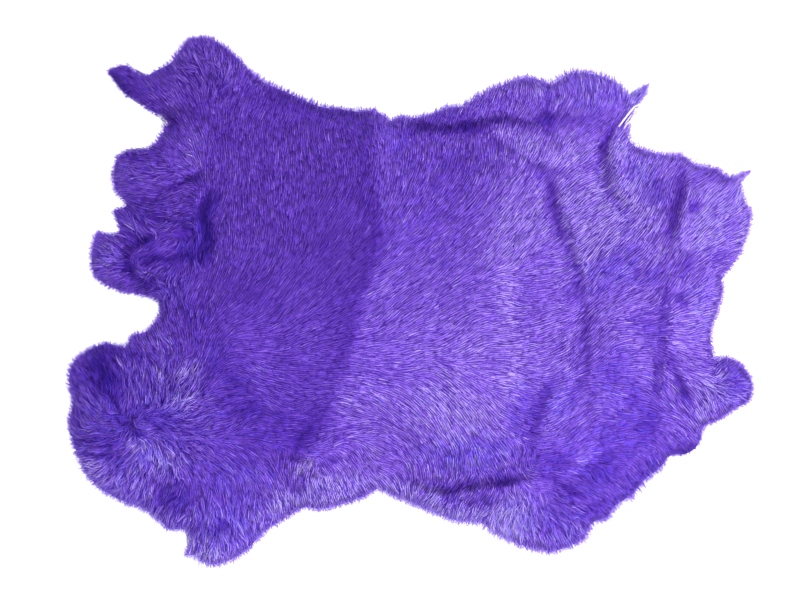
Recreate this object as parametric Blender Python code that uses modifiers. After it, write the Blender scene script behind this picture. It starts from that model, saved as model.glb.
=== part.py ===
"""Dyed rabbit skin, opened flat and lying fur side up, as one solid.

Metres, +Z up, resting on z = 0. The hide and its lying fur are one thick uneven sheet:
the outline has the skin's own lobes and leg flaps with lock tips round the rim, and the
upper side carries the fold ridges, creases, hollows and the fuller rolled lobes.
"""

import math

import bmesh
import bpy
import numpy as np
from mathutils import noise

MM = 0.001
COLLECTION_NAME = "rabbit_skin_object"
CUTTER_COLLECTION_NAME = "cutters"
NODE_NAME = "rabbit_skin"

# Overall sizes of the slab and of the sheet
SKIN_LENGTH_MM = 401.0
SKIN_WIDTH_MM = 314.0
CELL_MM = 6.2
HIDE_MM = 1.2
TIP_MM = 0.6
TIP_TAPER_MM = 3.0
LEAST_THICKNESS_MM = 2.6
PILE_MM = 8.5
RIM_ROUNDING_MM = 17.0
STEP_ALONG_RIM_MM = 1.0
WELD_MM = 0.06
SLIVER_MM = 0.01
CUTTER_HALF_HEIGHT_MM = 60.0
SLAB_MARGIN = 1.06

# Locks at the rim. Each runs through the points of its profile: the share of its pitch along
# the rim, and the share of its length out from the smooth edge.
LOCK_PROFILE = ((0.0, -0.35), (0.32, 0.10), (0.56, 0.65), (0.76, 0.05))
LOCK_PITCH_SPREAD = 0.5
LOCK_LENGTH_SPREAD = 0.75
LOCK_LEAN = 0.8
LOCK_SEED = 7

# The rim, clockwise seen from above, from the tip of the front leg. Columns: stretch, length
# and pitch of its locks in mm, and the points its smooth edge runs through, as (x, y) in mm.
RIM = (
    ("front leg", 1.0, 6, (
        (-178, 134.5), (-172, 138.5), (-166, 139), (-161, 135), (-156, 133), (-149, 136.5))),
    ("shoulder lobe", 3.2, 7, (
        (-142, 140), (-137, 146), (-131, 153.5), (-121, 155.5), (-112, 152), (-104, 146),
        (-96, 138))),
    ("top edge, left half", 3.4, 6, (
        (-87, 130), (-75, 124.5), (-64, 119.5), (-53, 115), (-40, 113.5), (-30, 112), (-22, 113))),
    ("notch at the fold", 2.5, 6, (
        (-15, 109), (-11, 106.5), (-7, 109), (1, 108.5))),
    ("top edge, right half", 3.2, 7, (
        (12, 110.5), (22, 114.5), (31, 115.5), (42, 122.5), (55, 128.5), (68, 132), (77, 130))),
    ("upper right lobe", 4.2, 6, (
        (81, 128), (86, 130.5), (92, 134.5), (104, 134.5), (115, 131.5), (123, 126))),
    ("thin tag of skin", 0.6, 5, (
        (128, 120), (132, 122.5), (138.5, 127.5), (137.5, 122), (134, 117.5), (131, 114.5))),
    ("torn edge", 4.0, 6, (
        (130, 107), (127, 100), (129, 93))),
    ("upper right edge", 3.2, 7, (
        (134, 90.5), (140, 88.5), (150, 86.5), (158, 86.5), (167, 80.5), (179, 78.5), (185, 74))),
    ("right corner wisp", 0.8, 5, (
        (191, 74.5), (198, 76.5), (193.5, 70.5))),
    ("right edge", 1.8, 9, (
        (195, 61), (199, 52.5), (197.5, 41), (193, 29), (187, 20), (182.5, 15.5), (182.5, 5),
        (179.5, -6), (176, -16), (176, -25), (178.5, -33.5))),
    ("hind foot lobe", 1.6, 9, (
        (184, -31.5), (192, -35), (198.5, -43), (200, -51), (197.5, -58.5), (189, -63.5),
        (179, -70), (171, -74))),
    ("little flap", 0.8, 6, (
        (170, -80), (166.5, -86), (161, -89.5), (151, -91))),
    ("lower right edge", 4.4, 7, (
        (146.5, -97), (137, -104.5), (129, -113.5), (119, -120.5), (115, -126.5), (106, -130),
        (101, -139), (90, -144.5))),
    ("lower right lobe", 3.4, 7, (
        (82, -146.5), (71, -144.5), (57, -140.5), (47, -135), (40, -130), (27, -129))),
    ("belly edge", 2.2, 8, (
        (12, -123.5), (-2, -117.5), (-13, -113), (-18.5, -110), (-26, -114), (-40, -119),
        (-53, -122), (-62, -121))),
    ("lower left edge", 3.2, 8, (
        (-73, -127), (-85, -134.5), (-94, -144), (-102, -150), (-114, -154.5), (-122, -152.5),
        (-127, -149))),
    ("tail notch", 1.6, 6, (
        (-132.5, -148.5), (-130.5, -142), (-129, -137.5), (-133, -134), (-142, -133.5),
        (-147, -129))),
    ("under the rump lobe", 2.4, 8, (
        (-157, -121.5), (-168, -117.5), (-179, -111.5), (-189, -103), (-195, -92))),
    ("rump lobe", 1.4, 10, (
        (-199, -80), (-200.5, -70), (-198.5, -56), (-201, -45), (-198.5, -35.5), (-190, -28),
        (-178, -23.5), (-167.5, -25.5))),
    ("left bay", 1.6, 7, (
        (-163.5, -19), (-155, -16), (-151, -11.5), (-147.5, -7), (-147.5, 0))),
    ("lower left flap", 1.4, 8, (
        (-158, 3.5), (-171, 6), (-182, 11.5), (-187, 18), (-187, 33), (-184, 41), (-175, 39.5))),
    ("small flap", 0.8, 6, (
        (-171.5, 41), (-173, 48), (-175, 53.5), (-167.5, 57))),
    ("upper left flap", 1.4, 9, (
        (-173.5, 65), (-175, 74), (-172.5, 84.5), (-168, 88), (-155, 89.5))),
    ("armpit", 2.4, 6, (
        (-149, 94.5), (-144.5, 102), (-141, 108))),
    ("front leg, under side", 0.8, 7, (
        (-150, 109.5), (-160, 116.5), (-169, 122), (-175, 130))),
)

# Ridges and troughs. Columns: fold, height in mm at its line (a trough is below zero), half
# width in mm on the left and on the right of its line, as its points run, how pointed it is
# across from 0 to 1, the share of the height by which the under side lifts, and the points of
# the line as (x, y) in mm.
FOLDS = (
    ("main fold", 7.5, 45, 72, 0.8, 0.55, (
        (-24, 122), (-21, 89), (-20, 55), (-24, 19), (-33, -12), (-37, -35), (-46, -57), (-56, -81))),
    ("top crease", -3.6, 8, 7, 0.5, 0.0, (
        (-7, 102), (17, 102), (40, 104.5), (54, 107.5), (70, 102))),
    ("roll above the top crease", 2.0, 8, 8, 0.0, 0.0, (
        (12, 108), (38, 114), (58, 119), (80, 116))),
    ("bottom crease", -4.2, 8, 7, 0.5, 0.0, (
        (2, -105), (23, -110.5), (42, -106), (60, -104), (80, -95))),
    ("roll below the bottom crease", 2.2, 9, 9, 0.0, 0.0, (
        (4, -114), (28, -120), (55, -118), (80, -114))),
    ("crease by the torn edge", -3.6, 8, 7, 0.4, 0.0, (
        (119, 103), (112, 92), (112, 81), (114.5, 68), (128, 51))),
    ("ridge beside that crease", 2.4, 11, 8, 0.3, 0.0, (
        (127, 97), (120, 88), (120, 76), (125, 65))),
    ("upper right ridge", 3.4, 16, 11, 0.6, 0.4, (
        (163, 78), (160, 58), (156, 40), (153, 26))),
    ("lower right ridge", 2.8, 13, 9, 0.6, 0.0, (
        (152, 4), (150, -23), (147, -42), (144, -60))),
    ("flank crease", -3.2, 18, 15, 0.6, 0.0, (
        (74, 78), (84, 59), (90.5, 38), (94.5, 25), (100.5, 6), (103, -15), (104, -38))),
    ("crease of the upper left flap", -2.2, 7, 7, 0.2, 0.0, (
        (-122, 72), (-137, 69), (-158, 55))),
    ("crease of the lower left flap", -3.2, 7, 8, 0.3, 0.0, (
        (-142, 36), (-155, 37), (-164, 33))),
    ("front leg ridge", 2.4, 9, 9, 0.0, 0.0, (
        (-172, 133), (-158, 125), (-141, 119), (-126, 116))),
    ("belly dip", -2.4, 12, 12, 0.0, 0.0, (
        (-62, -68), (-66, -84), (-68, -97))),
)

# Folds fade in over the first share of their length and out over the last, and keep at least
# the least share of their height to their ends.
FOLD_FADE_IN = 0.2
FOLD_FADE_OUT = 0.25
FOLD_LEAST = 0.35

# Hollows and fuller places. Columns: place, x, y, radius along x and along y, height, in mm.
SWELLS = (
    ("rump lobe", -165, -68, 46, 52, 5.0),
    ("rump whorl", -160, -75, 13, 9, -4.0),
    ("shadow on the rump lobe", -180, -45, 14, 10, -2.5),
    ("shoulder lobe", -124, 138, 24, 20, 2.0),
    ("upper left flap", -155, 74, 22, 16, 2.6),
    ("upper left whorl", -127, 75, 10, 8, -2.4),
    ("lower left flap", -176, 24, 14, 16, 2.0),
    ("pit of the lower left flap", -156, 10, 9, 6, -3.0),
    ("hollow behind the flaps", -125, 40, 16, 32, -3.0),
    ("lower left edge", -108, -128, 30, 24, 3.0),
    ("pocket by the lower left edge", -113, -134, 12, 7, -2.6),
    ("hind foot lobe", 186, -50, 16, 18, 2.8),
    ("lower right lobe", 84, -126, 40, 18, 2.4),
    ("shadow on the lower right lobe", 92, -112, 20, 9, -2.6),
    ("upper right lobe", 100, 120, 28, 14, 2.0),
    ("right pocket", 159, 3, 8, 7, -2.4),
    ("swell before the flank crease", 70, 42, 16, 30, 2.0),
    ("middle of the back", 30, -20, 60, 55, 1.4),
)

# The lie of the hair. Columns: x and y in mm, and the way the hair points in degrees,
# 0 to the right and 90 to the top edge.
LIE = (
    (-172, 134, 165), (-150, 118, 150), (-128, 142, 125), (-108, 130, 115), (-92, 118, 70),
    (-145, 92, 165), (-100, 60, 88), (-60, 95, 80), (-60, 40, 70), (-60, 5, 48),
    (-70, -30, 25), (-75, -58, 5), (-80, -95, -50), (-100, -130, -95), (-130, -125, -100),
    (-10, 85, 75), (10, 50, 60), (20, 12, 38), (20, -22, 15), (20, -45, -5),
    (15, -75, -35), (-30, -100, -65), (-60, -110, -85), (25, -118, -110), (58, -125, -90),
    (90, -125, -60), (120, -105, -42), (60, 100, 70), (95, 115, 85), (95, 80, 48),
    (110, 35, 45), (110, -5, 25), (110, -35, 5), (110, -70, -25), (150, 60, 50),
    (175, 45, 32), (160, -10, 10), (155, -55, -42), (188, -48, 0), (160, -80, -50),
)

# Whorls, from which the hair runs out all round. Columns: x, y, reach in mm.
WHORLS = (
    (-127, 76, 34),
    (-164, 20, 22),
    (-158, -75, 48),
)
WHORL_WEIGHT = 3.0
LIE_SPREAD_MM = 16.0

# Lumps of the lying fur, drawn out along its lie. Columns: width and height of a lump, in mm.
LUMPS = (
    (26, 2.2),
    (13, 1.3),
)
LUMP_RUN_MM = 22.0
LUMP_STEPS = 7

# The under side lies flat wherever it would lift less than this.
LEAST_LIFT_MM = 0.5

# Colours, linear
FUR_COLOUR = (0.105, 0.035, 0.46, 1.0)
FUR_ROUGHNESS = 0.75


def clear_scene():
    for item in list(bpy.data.objects):
        bpy.data.objects.remove(item, do_unlink=True)


def new_collection(name):
    made = bpy.data.collections.new(name)
    bpy.context.scene.collection.children.link(made)
    return made


def smooth_step(share):
    share = np.clip(share, 0.0, 1.0)
    return share * share * (3.0 - 2.0 * share)


# Outline

def spline_through(knots, closed, step):
    """Points every step or less along a centripetal spline that runs through the knots."""
    count = len(knots)
    points = []
    for index in range(count if closed else count - 1):
        around = []
        for offset in (-1, 0, 1, 2):
            place = index + offset
            place = place % count if closed else min(max(place, 0), count - 1)
            around.append(np.array(knots[place], float))
        before, start, end, after = around
        gaps = [max(math.sqrt(np.linalg.norm(b - a)), 1e-6)
                for a, b in ((before, start), (start, end), (end, after))]
        t1 = gaps[0]
        t2 = t1 + gaps[1]
        t3 = t2 + gaps[2]
        parts = max(2, math.ceil(np.linalg.norm(end - start) / step))
        for part in range(parts):
            t = t1 + (t2 - t1) * part / parts
            a1 = (t1 - t) / t1 * before + t / t1 * start
            a2 = (t2 - t) / (t2 - t1) * start + (t - t1) / (t2 - t1) * end
            a3 = (t3 - t) / (t3 - t2) * end + (t - t2) / (t3 - t2) * after
            b1 = (t2 - t) / t2 * a1 + t / t2 * a2
            b2 = (t3 - t) / (t3 - t1) * a2 + (t - t1) / (t3 - t1) * a3
            points.append((t2 - t) / (t2 - t1) * b1 + (t - t1) / (t2 - t1) * b2)
    if not closed:
        points.append(np.array(knots[-1], float))
    return np.array(points)


def nearest(points, line, closed):
    """Each point's distance to the line, how far along the line it is nearest, as a share, and
    the side of the line that it is on: above 0 on the left of the way that the points run."""
    start = line
    end = np.roll(line, -1, axis=0)
    if not closed:
        start = line[:-1]
        end = line[1:]
    along = end - start
    length = np.maximum((along ** 2).sum(1), 1e-9)
    gap = points[:, None, :] - start[None]
    share = np.clip((gap * along[None]).sum(2) / length, 0.0, 1.0)
    away = gap - share[..., None] * along[None]
    distance = np.sqrt((away ** 2).sum(2))
    pick = distance.argmin(1)
    rows = np.arange(len(points))
    cross = along[pick, 0] * gap[rows, pick, 1] - along[pick, 1] * gap[rows, pick, 0]
    place = (pick + share[rows, pick]) / len(start)
    return distance[rows, pick], place, np.sign(cross)


def inside(points, outline):
    """True for the points that lie within the closed outline."""
    found = np.zeros(len(points), bool)
    for start, end in zip(outline, np.roll(outline, -1, axis=0)):
        if start[1] == end[1]:
            continue
        crosses = (start[1] > points[:, 1]) != (end[1] > points[:, 1])
        at = start[0] + (points[:, 1] - start[1]) * (end[0] - start[0]) / (end[1] - start[1])
        found ^= crosses & (points[:, 0] < at)
    return found


def lie_of_hair(points):
    """The way that the hair points at each place, as unit vectors."""
    lie = np.array(LIE, float)
    gap = points[:, None, :] - lie[None, :, :2]
    weight = 1.0 / ((gap ** 2).sum(2) + LIE_SPREAD_MM ** 2) ** 2
    turn = np.radians(lie[:, 2])
    way = weight @ np.stack([np.cos(turn), np.sin(turn)], axis=1)
    way /= np.linalg.norm(way, axis=1)[:, None]
    for x, y, reach in WHORLS:
        out = points - (x, y)
        far = np.linalg.norm(out, axis=1)[:, None]
        way += WHORL_WEIGHT * np.exp(-(far / reach) ** 2) * out / (far + 0.5)
    return way / (np.linalg.norm(way, axis=1)[:, None] + 1e-6)


def smooth_rim():
    """The rim without its locks, as points with the length and the pitch of the locks there."""
    knots = []
    sizes = []
    for stretch, length, pitch, points in RIM:
        for point in points:
            knots.append(point)
            sizes.append((length, pitch))
    points = spline_through(knots, True, STEP_ALONG_RIM_MM)
    gaps = np.linalg.norm(points[:, None] - np.array(knots, float)[None], axis=2)
    return points, np.array(sizes)[gaps.argmin(1)]


def rim_with_locks(points, sizes):
    """The rim drawn out into locks, uneven in pitch and length, that lean with the hair."""
    random = np.random.default_rng(LOCK_SEED)
    ahead = np.roll(points, -2, axis=0) - np.roll(points, 2, axis=0)
    ahead /= np.linalg.norm(ahead, axis=1)[:, None]
    out = np.stack([-ahead[:, 1], ahead[:, 0]], axis=1)
    tips = out + LOCK_LEAN * lie_of_hair(points)
    tips /= np.linalg.norm(tips, axis=1)[:, None]
    steps = np.linalg.norm(np.roll(points, -1, axis=0) - points, axis=1)
    at = np.concatenate([[0.0], np.cumsum(steps)])
    rim = []
    place = 0.0
    while place < at[-1]:
        length, pitch = sizes[np.searchsorted(at, place, side="right") - 1]
        pitch *= 1.0 + LOCK_PITCH_SPREAD * random.uniform(-1.0, 1.0)
        length *= 1.0 + LOCK_LENGTH_SPREAD * random.uniform(-1.0, 1.0)
        if at[-1] - place < 1.5 * pitch:
            pitch = at[-1] - place
        for share, reach in LOCK_PROFILE:
            index = np.searchsorted(at, place + share * pitch, side="right") - 1
            rim.append(points[index] + reach * length * tips[index])
        place += pitch
    return np.array(rim)


# Heights

def fold_heights(points):
    """The rise of the upper side and of the under side from the folds, in mm."""
    upper = np.zeros(len(points))
    under = np.zeros(len(points))
    for fold, height, left, right, pointed, lift, line in FOLDS:
        path = spline_through(line, False, CELL_MM)
        distance, place, side = nearest(points, path, False)
        width = np.where(side > 0, left, right)
        away = np.clip(distance / width, 0.0, 1.0)
        across = (1.0 - pointed) * (0.5 + 0.5 * np.cos(np.pi * away)) + pointed * (1.0 - away) ** 2
        ends = smooth_step(place / FOLD_FADE_IN) * smooth_step((1.0 - place) / FOLD_FADE_OUT)
        ends = np.maximum(ends, FOLD_LEAST)
        upper += height * across * ends
        under += lift * height * across * ends
    return upper, under


def swell_heights(points):
    rise = np.zeros(len(points))
    for place, x, y, radius_x, radius_y, height in SWELLS:
        away = ((points[:, 0] - x) / radius_x) ** 2 + ((points[:, 1] - y) / radius_y) ** 2
        rise += height * np.exp(-away)
    return rise


def lump_heights(points):
    """Noise averaged along the lie of the hair, so that its lumps run with the locks."""
    rise = np.zeros(len(points))
    for layer, (width, height) in enumerate(LUMPS):
        for way in (-1.0, 1.0):
            walk = points.copy()
            for step in range(LUMP_STEPS):
                found = [noise.noise((x / width, y / width, layer + 0.5)) for x, y in walk]
                rise += height * np.array(found) / (2 * LUMP_STEPS)
                walk = walk + way * LUMP_RUN_MM / LUMP_STEPS * lie_of_hair(walk)
    return rise


def surface_heights(points, rim):
    """The heights in mm of the upper side and the under side at each point."""
    distance, _, _ = nearest(points, rim, True)
    within = inside(points, rim)
    depth = np.where(within, distance, 0.0)
    beyond = np.where(within, 0.0, distance)
    share = np.clip(depth / RIM_ROUNDING_MM, 0.0, 1.0)
    crown = np.sqrt(1.0 - (1.0 - share) ** 2)
    folds, lift = fold_heights(points)
    pile = PILE_MM + folds + swell_heights(points) + lump_heights(points)
    pile = np.maximum(pile, LEAST_THICKNESS_MM)
    taper = np.clip(1.0 - beyond / TIP_TAPER_MM, 0.0, 1.0)
    edge = TIP_MM + (HIDE_MM - TIP_MM) * taper
    upper = edge + (pile - edge) * crown
    under = np.clip(lift - LEAST_LIFT_MM, 0.0, None) * smooth_step(share)
    under = np.minimum(under, upper - LEAST_THICKNESS_MM)
    return upper, np.where(under > 0.0, under, 0.0)


# Solid

def outline_cutter(rim, collection):
    """A tall prism with the rim's outline, from a filled 2D curve."""
    curve = bpy.data.curves.new("outline_curve", "CURVE")
    curve.dimensions = "2D"
    curve.fill_mode = "BOTH"
    curve.extrude = CUTTER_HALF_HEIGHT_MM * MM
    spline = curve.splines.new("POLY")
    spline.points.add(len(rim) - 1)
    for point, (x, y) in zip(spline.points, rim):
        point.co = (x * MM, y * MM, 0.0, 1.0)
    spline.use_cyclic_u = True
    outline = bpy.data.objects.new("outline_curve", curve)
    collection.objects.link(outline)
    graph = bpy.context.evaluated_depsgraph_get()
    mesh = bpy.data.meshes.new_from_object(outline.evaluated_get(graph))
    cutter = bpy.data.objects.new("outline_cutter", mesh)
    cutter.matrix_world = outline.matrix_world
    collection.objects.link(cutter)
    bpy.data.objects.remove(outline, do_unlink=True)
    shape = bmesh.new()
    shape.from_mesh(mesh)
    bmesh.ops.remove_doubles(shape, verts=shape.verts, dist=SLIVER_MM * MM)
    bmesh.ops.recalc_face_normals(shape, faces=shape.faces)
    shape.to_mesh(mesh)
    shape.free()
    cutter.display_type = "WIRE"
    cutter.hide_render = True
    return cutter


def grid_slab(collection):
    """A flat slab with square cells, wider than the whole skin and one pile height thick each way."""
    columns = math.ceil(SLAB_MARGIN * SKIN_LENGTH_MM / CELL_MM)
    rows = math.ceil(SLAB_MARGIN * SKIN_WIDTH_MM / CELL_MM)
    bpy.ops.mesh.primitive_grid_add(x_subdivisions=columns, y_subdivisions=rows, size=1.0)
    slab = bpy.context.active_object
    slab.name = NODE_NAME
    slab.data.name = NODE_NAME
    slab.scale = (columns * CELL_MM * MM, rows * CELL_MM * MM, 1.0)
    bpy.ops.object.transform_apply(location=False, rotation=False, scale=True)
    for holder in list(slab.users_collection):
        holder.objects.unlink(slab)
    collection.objects.link(slab)
    thick = slab.modifiers.new("thickness", "SOLIDIFY")
    thick.thickness = 2.0 * PILE_MM * MM
    thick.offset = 0.0
    bpy.context.view_layer.objects.active = slab
    bpy.ops.object.modifier_apply(modifier=thick.name)
    return slab


def cut_to_outline(slab, cutter):
    cut = slab.modifiers.new("outline", "BOOLEAN")
    cut.operation = "INTERSECT"
    cut.solver = "EXACT"
    cut.object = cutter
    bpy.context.view_layer.objects.active = slab
    bpy.ops.object.modifier_apply(modifier=cut.name)
    bpy.data.objects.remove(cutter, do_unlink=True)


def shape_surfaces(slab, rim):
    """Moves the flat top and bottom of the slab to the heights of the fur and of the hide."""
    shape = bmesh.new()
    shape.from_mesh(slab.data)
    bmesh.ops.remove_doubles(shape, verts=shape.verts, dist=WELD_MM * MM)
    bmesh.ops.dissolve_degenerate(shape, edges=shape.edges, dist=SLIVER_MM * MM)
    bmesh.ops.triangulate(shape, faces=shape.faces)
    points = np.array([vertex.co[:2] for vertex in shape.verts]) / MM
    upper, under = surface_heights(points, rim)
    for vertex, top, bottom in zip(shape.verts, upper, under):
        vertex.co.z = (top if vertex.co.z > 0.0 else bottom) * MM
    low = points.min(0)
    high = points.max(0)
    middle = (low + high) / 2.0 * MM
    for vertex in shape.verts:
        vertex.co.x -= middle[0]
        vertex.co.y -= middle[1]
    bmesh.ops.recalc_face_normals(shape, faces=shape.faces)
    shape.to_mesh(slab.data)
    shape.free()


def fur_material():
    material = bpy.data.materials.new("violet_rabbit_fur")
    material.use_nodes = True
    shader = material.node_tree.nodes["Principled BSDF"]
    shader.inputs["Base Color"].default_value = FUR_COLOUR
    shader.inputs["Roughness"].default_value = FUR_ROUGHNESS
    material.diffuse_color = FUR_COLOUR
    return material


def build_rabbit_skin(parts, cutters):
    edge, sizes = smooth_rim()
    rim = rim_with_locks(edge, sizes)
    slab = grid_slab(parts)
    cut_to_outline(slab, outline_cutter(rim, cutters))
    shape_surfaces(slab, edge)
    slab.data.materials.clear()
    slab.data.materials.append(fur_material())
    for face in slab.data.polygons:
        face.use_smooth = False


clear_scene()
part_collection = new_collection(COLLECTION_NAME)
cutter_collection = new_collection(CUTTER_COLLECTION_NAME)
build_rabbit_skin(part_collection, cutter_collection)
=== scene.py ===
"""A dyed violet rabbit skin, opened flat, lying fur side up: the looks around its CAD solid."""

import math

import bmesh
import bpy
import numpy as np
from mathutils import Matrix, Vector, noise


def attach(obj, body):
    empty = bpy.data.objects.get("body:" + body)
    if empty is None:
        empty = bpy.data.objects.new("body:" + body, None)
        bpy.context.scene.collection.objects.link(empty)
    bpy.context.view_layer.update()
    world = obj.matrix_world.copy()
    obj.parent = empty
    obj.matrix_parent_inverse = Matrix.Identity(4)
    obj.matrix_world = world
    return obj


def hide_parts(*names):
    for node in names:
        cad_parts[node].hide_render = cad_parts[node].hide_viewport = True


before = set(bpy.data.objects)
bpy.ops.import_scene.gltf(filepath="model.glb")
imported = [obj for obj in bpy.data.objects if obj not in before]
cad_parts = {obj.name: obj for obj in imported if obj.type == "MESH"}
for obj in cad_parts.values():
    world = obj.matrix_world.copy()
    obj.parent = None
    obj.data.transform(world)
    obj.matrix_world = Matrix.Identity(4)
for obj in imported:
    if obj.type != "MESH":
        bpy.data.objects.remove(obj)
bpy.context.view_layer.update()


# Hide
# The rabbit's skin itself, tanned soft and about 1.2 mm thick. It was cut open along the belly
# and still has its leg flaps, and its flesh side is a pale suede that took less of the dye. It
# is cut from a fine slab along its outline, then laid on the table and over the main fold.

MM = 0.001
BODY = "root"
CAD_NODE = "rabbit_skin"

HIDE_MM = 1.2
HIDE_CELL_MM = 5.0
HIDE_INSET_MM = 2.2
LONGEST_LOOP = 60
RIM_STEP_MM = 1.3
SLAB_LENGTH_MM = 420.0
SLAB_WIDTH_MM = 330.0
SLAB_THICKNESS_MM = 4.0
WELD_MM = 0.02
FINE_WELD_MM = 0.01
SMOOTH_DEGREES = 60
# How far in from the rim the hide's folds reach their full height.
HIDE_FADE_MM = 17.0
FIELD_CELL_MM = 1.25
FIELD_HALF_LENGTH_MM = 220.0
FIELD_HALF_WIDTH_MM = 175.0

# The rim of the fur, clockwise seen from above, from the tip of the front leg. Columns: stretch,
# the reach that its wisps are sized by in mm, wisps per mm, and the points of its edge in mm.
RIM = (
    ("front leg", 1.6, 5, (
        (-178, 134.5), (-172, 138.5), (-166, 139), (-161, 135), (-156, 133), (-149, 136.5))),
    ("shoulder lobe", 2.6, 8, (
        (-142, 140), (-137, 146), (-131, 153.5), (-121, 155.5), (-112, 152), (-104, 146),
        (-96, 138))),
    ("top edge, left half", 3.6, 8, (
        (-87, 130), (-75, 124.5), (-64, 119.5), (-53, 115), (-40, 113.5), (-30, 112), (-22, 113))),
    ("notch at the fold", 2.4, 8, (
        (-15, 109), (-11, 106.5), (-7, 109), (1, 108.5))),
    ("top edge, right half", 3.2, 8, (
        (12, 110.5), (22, 114.5), (31, 115.5), (42, 122.5), (55, 128.5), (68, 132), (77, 130))),
    ("upper right lobe", 4.4, 8, (
        (81, 128), (86, 130.5), (92, 134.5), (104, 134.5), (115, 131.5), (123, 126))),
    ("thin tag of skin", 1.8, 9, (
        (127, 120.5), (130, 123), (134, 125.3), (138.5, 127.3), (138, 123), (135.5, 118.5),
        (132, 114.5))),
    ("torn edge", 4.4, 5, (
        (128, 107.5), (127, 100), (129, 93.5))),
    ("upper right edge", 3.4, 8, (
        (134, 90.5), (140, 88.5), (150, 86.5), (158, 86.5), (167, 80.5), (179, 78.5), (185, 74))),
    ("right corner wisp", 1.6, 8, (
        (191, 74.5), (198, 76.5), (193.5, 70.5))),
    ("right edge", 2.6, 8, (
        (195, 61), (199, 52.5), (197.5, 41), (193, 29), (187, 20), (182.5, 15.5), (182.5, 5),
        (179.5, -6), (176, -16), (176, -25), (178.5, -33.5))),
    ("hind foot lobe", 2.2, 8, (
        (184, -31.5), (192, -35), (198.5, -43), (200, -51), (197.5, -58.5), (189, -63.5),
        (179, -70), (171, -74))),
    ("little flap", 1.2, 5, (
        (170, -80), (166.5, -86), (161, -89.5), (151, -91))),
    ("lower right edge", 4.6, 8, (
        (146.5, -97), (137, -104.5), (129, -113.5), (119, -120.5), (115, -126.5), (106, -130),
        (101, -139), (90, -144.5))),
    ("lower right lobe", 3.4, 8, (
        (82, -146.5), (71, -144.5), (57, -140.5), (47, -135), (40, -130), (27, -129))),
    ("belly edge", 2.4, 8, (
        (12, -123.5), (-2, -117.5), (-13, -113), (-18.5, -110), (-26, -114), (-40, -119),
        (-53, -122), (-62, -121))),
    ("lower left edge", 3.0, 8, (
        (-73, -127), (-85, -134.5), (-94, -144), (-102, -150), (-114, -154.5), (-122, -152.5),
        (-127, -149))),
    ("tail notch", 2.0, 8, (
        (-132.5, -148.5), (-130.5, -142), (-129, -137.5), (-133, -134), (-142, -133.5),
        (-147, -129))),
    ("under the rump lobe", 2.4, 8, (
        (-157, -121.5), (-168, -117.5), (-179, -111.5), (-189, -103), (-195, -92))),
    ("rump lobe", 2.4, 8, (
        (-199, -80), (-200.5, -70), (-198.5, -56), (-201, -45), (-198.5, -35.5), (-190, -28),
        (-178, -23.5), (-167.5, -25.5))),
    ("left bay", 2.0, 8, (
        (-163.5, -19), (-155, -16), (-151, -11.5), (-147.5, -7), (-147.5, 0))),
    ("lower left flap", 2.0, 8, (
        (-158, 3.5), (-171, 6), (-182, 11.5), (-187, 18), (-187, 33), (-184, 41), (-175, 39.5))),
    ("small flap", 1.2, 5, (
        (-171.5, 41), (-173, 48), (-175, 53.5), (-167.5, 57))),
    ("upper left flap", 2.2, 8, (
        (-173.5, 65), (-175, 74), (-172.5, 84.5), (-168, 88), (-155, 89.5))),
    ("armpit", 3.0, 8, (
        (-149, 94.5), (-144.5, 102), (-141, 108))),
    ("front leg, under side", 1.2, 5, (
        (-150, 109.5), (-160, 116.5), (-169, 122), (-175, 130))),
)

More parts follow.
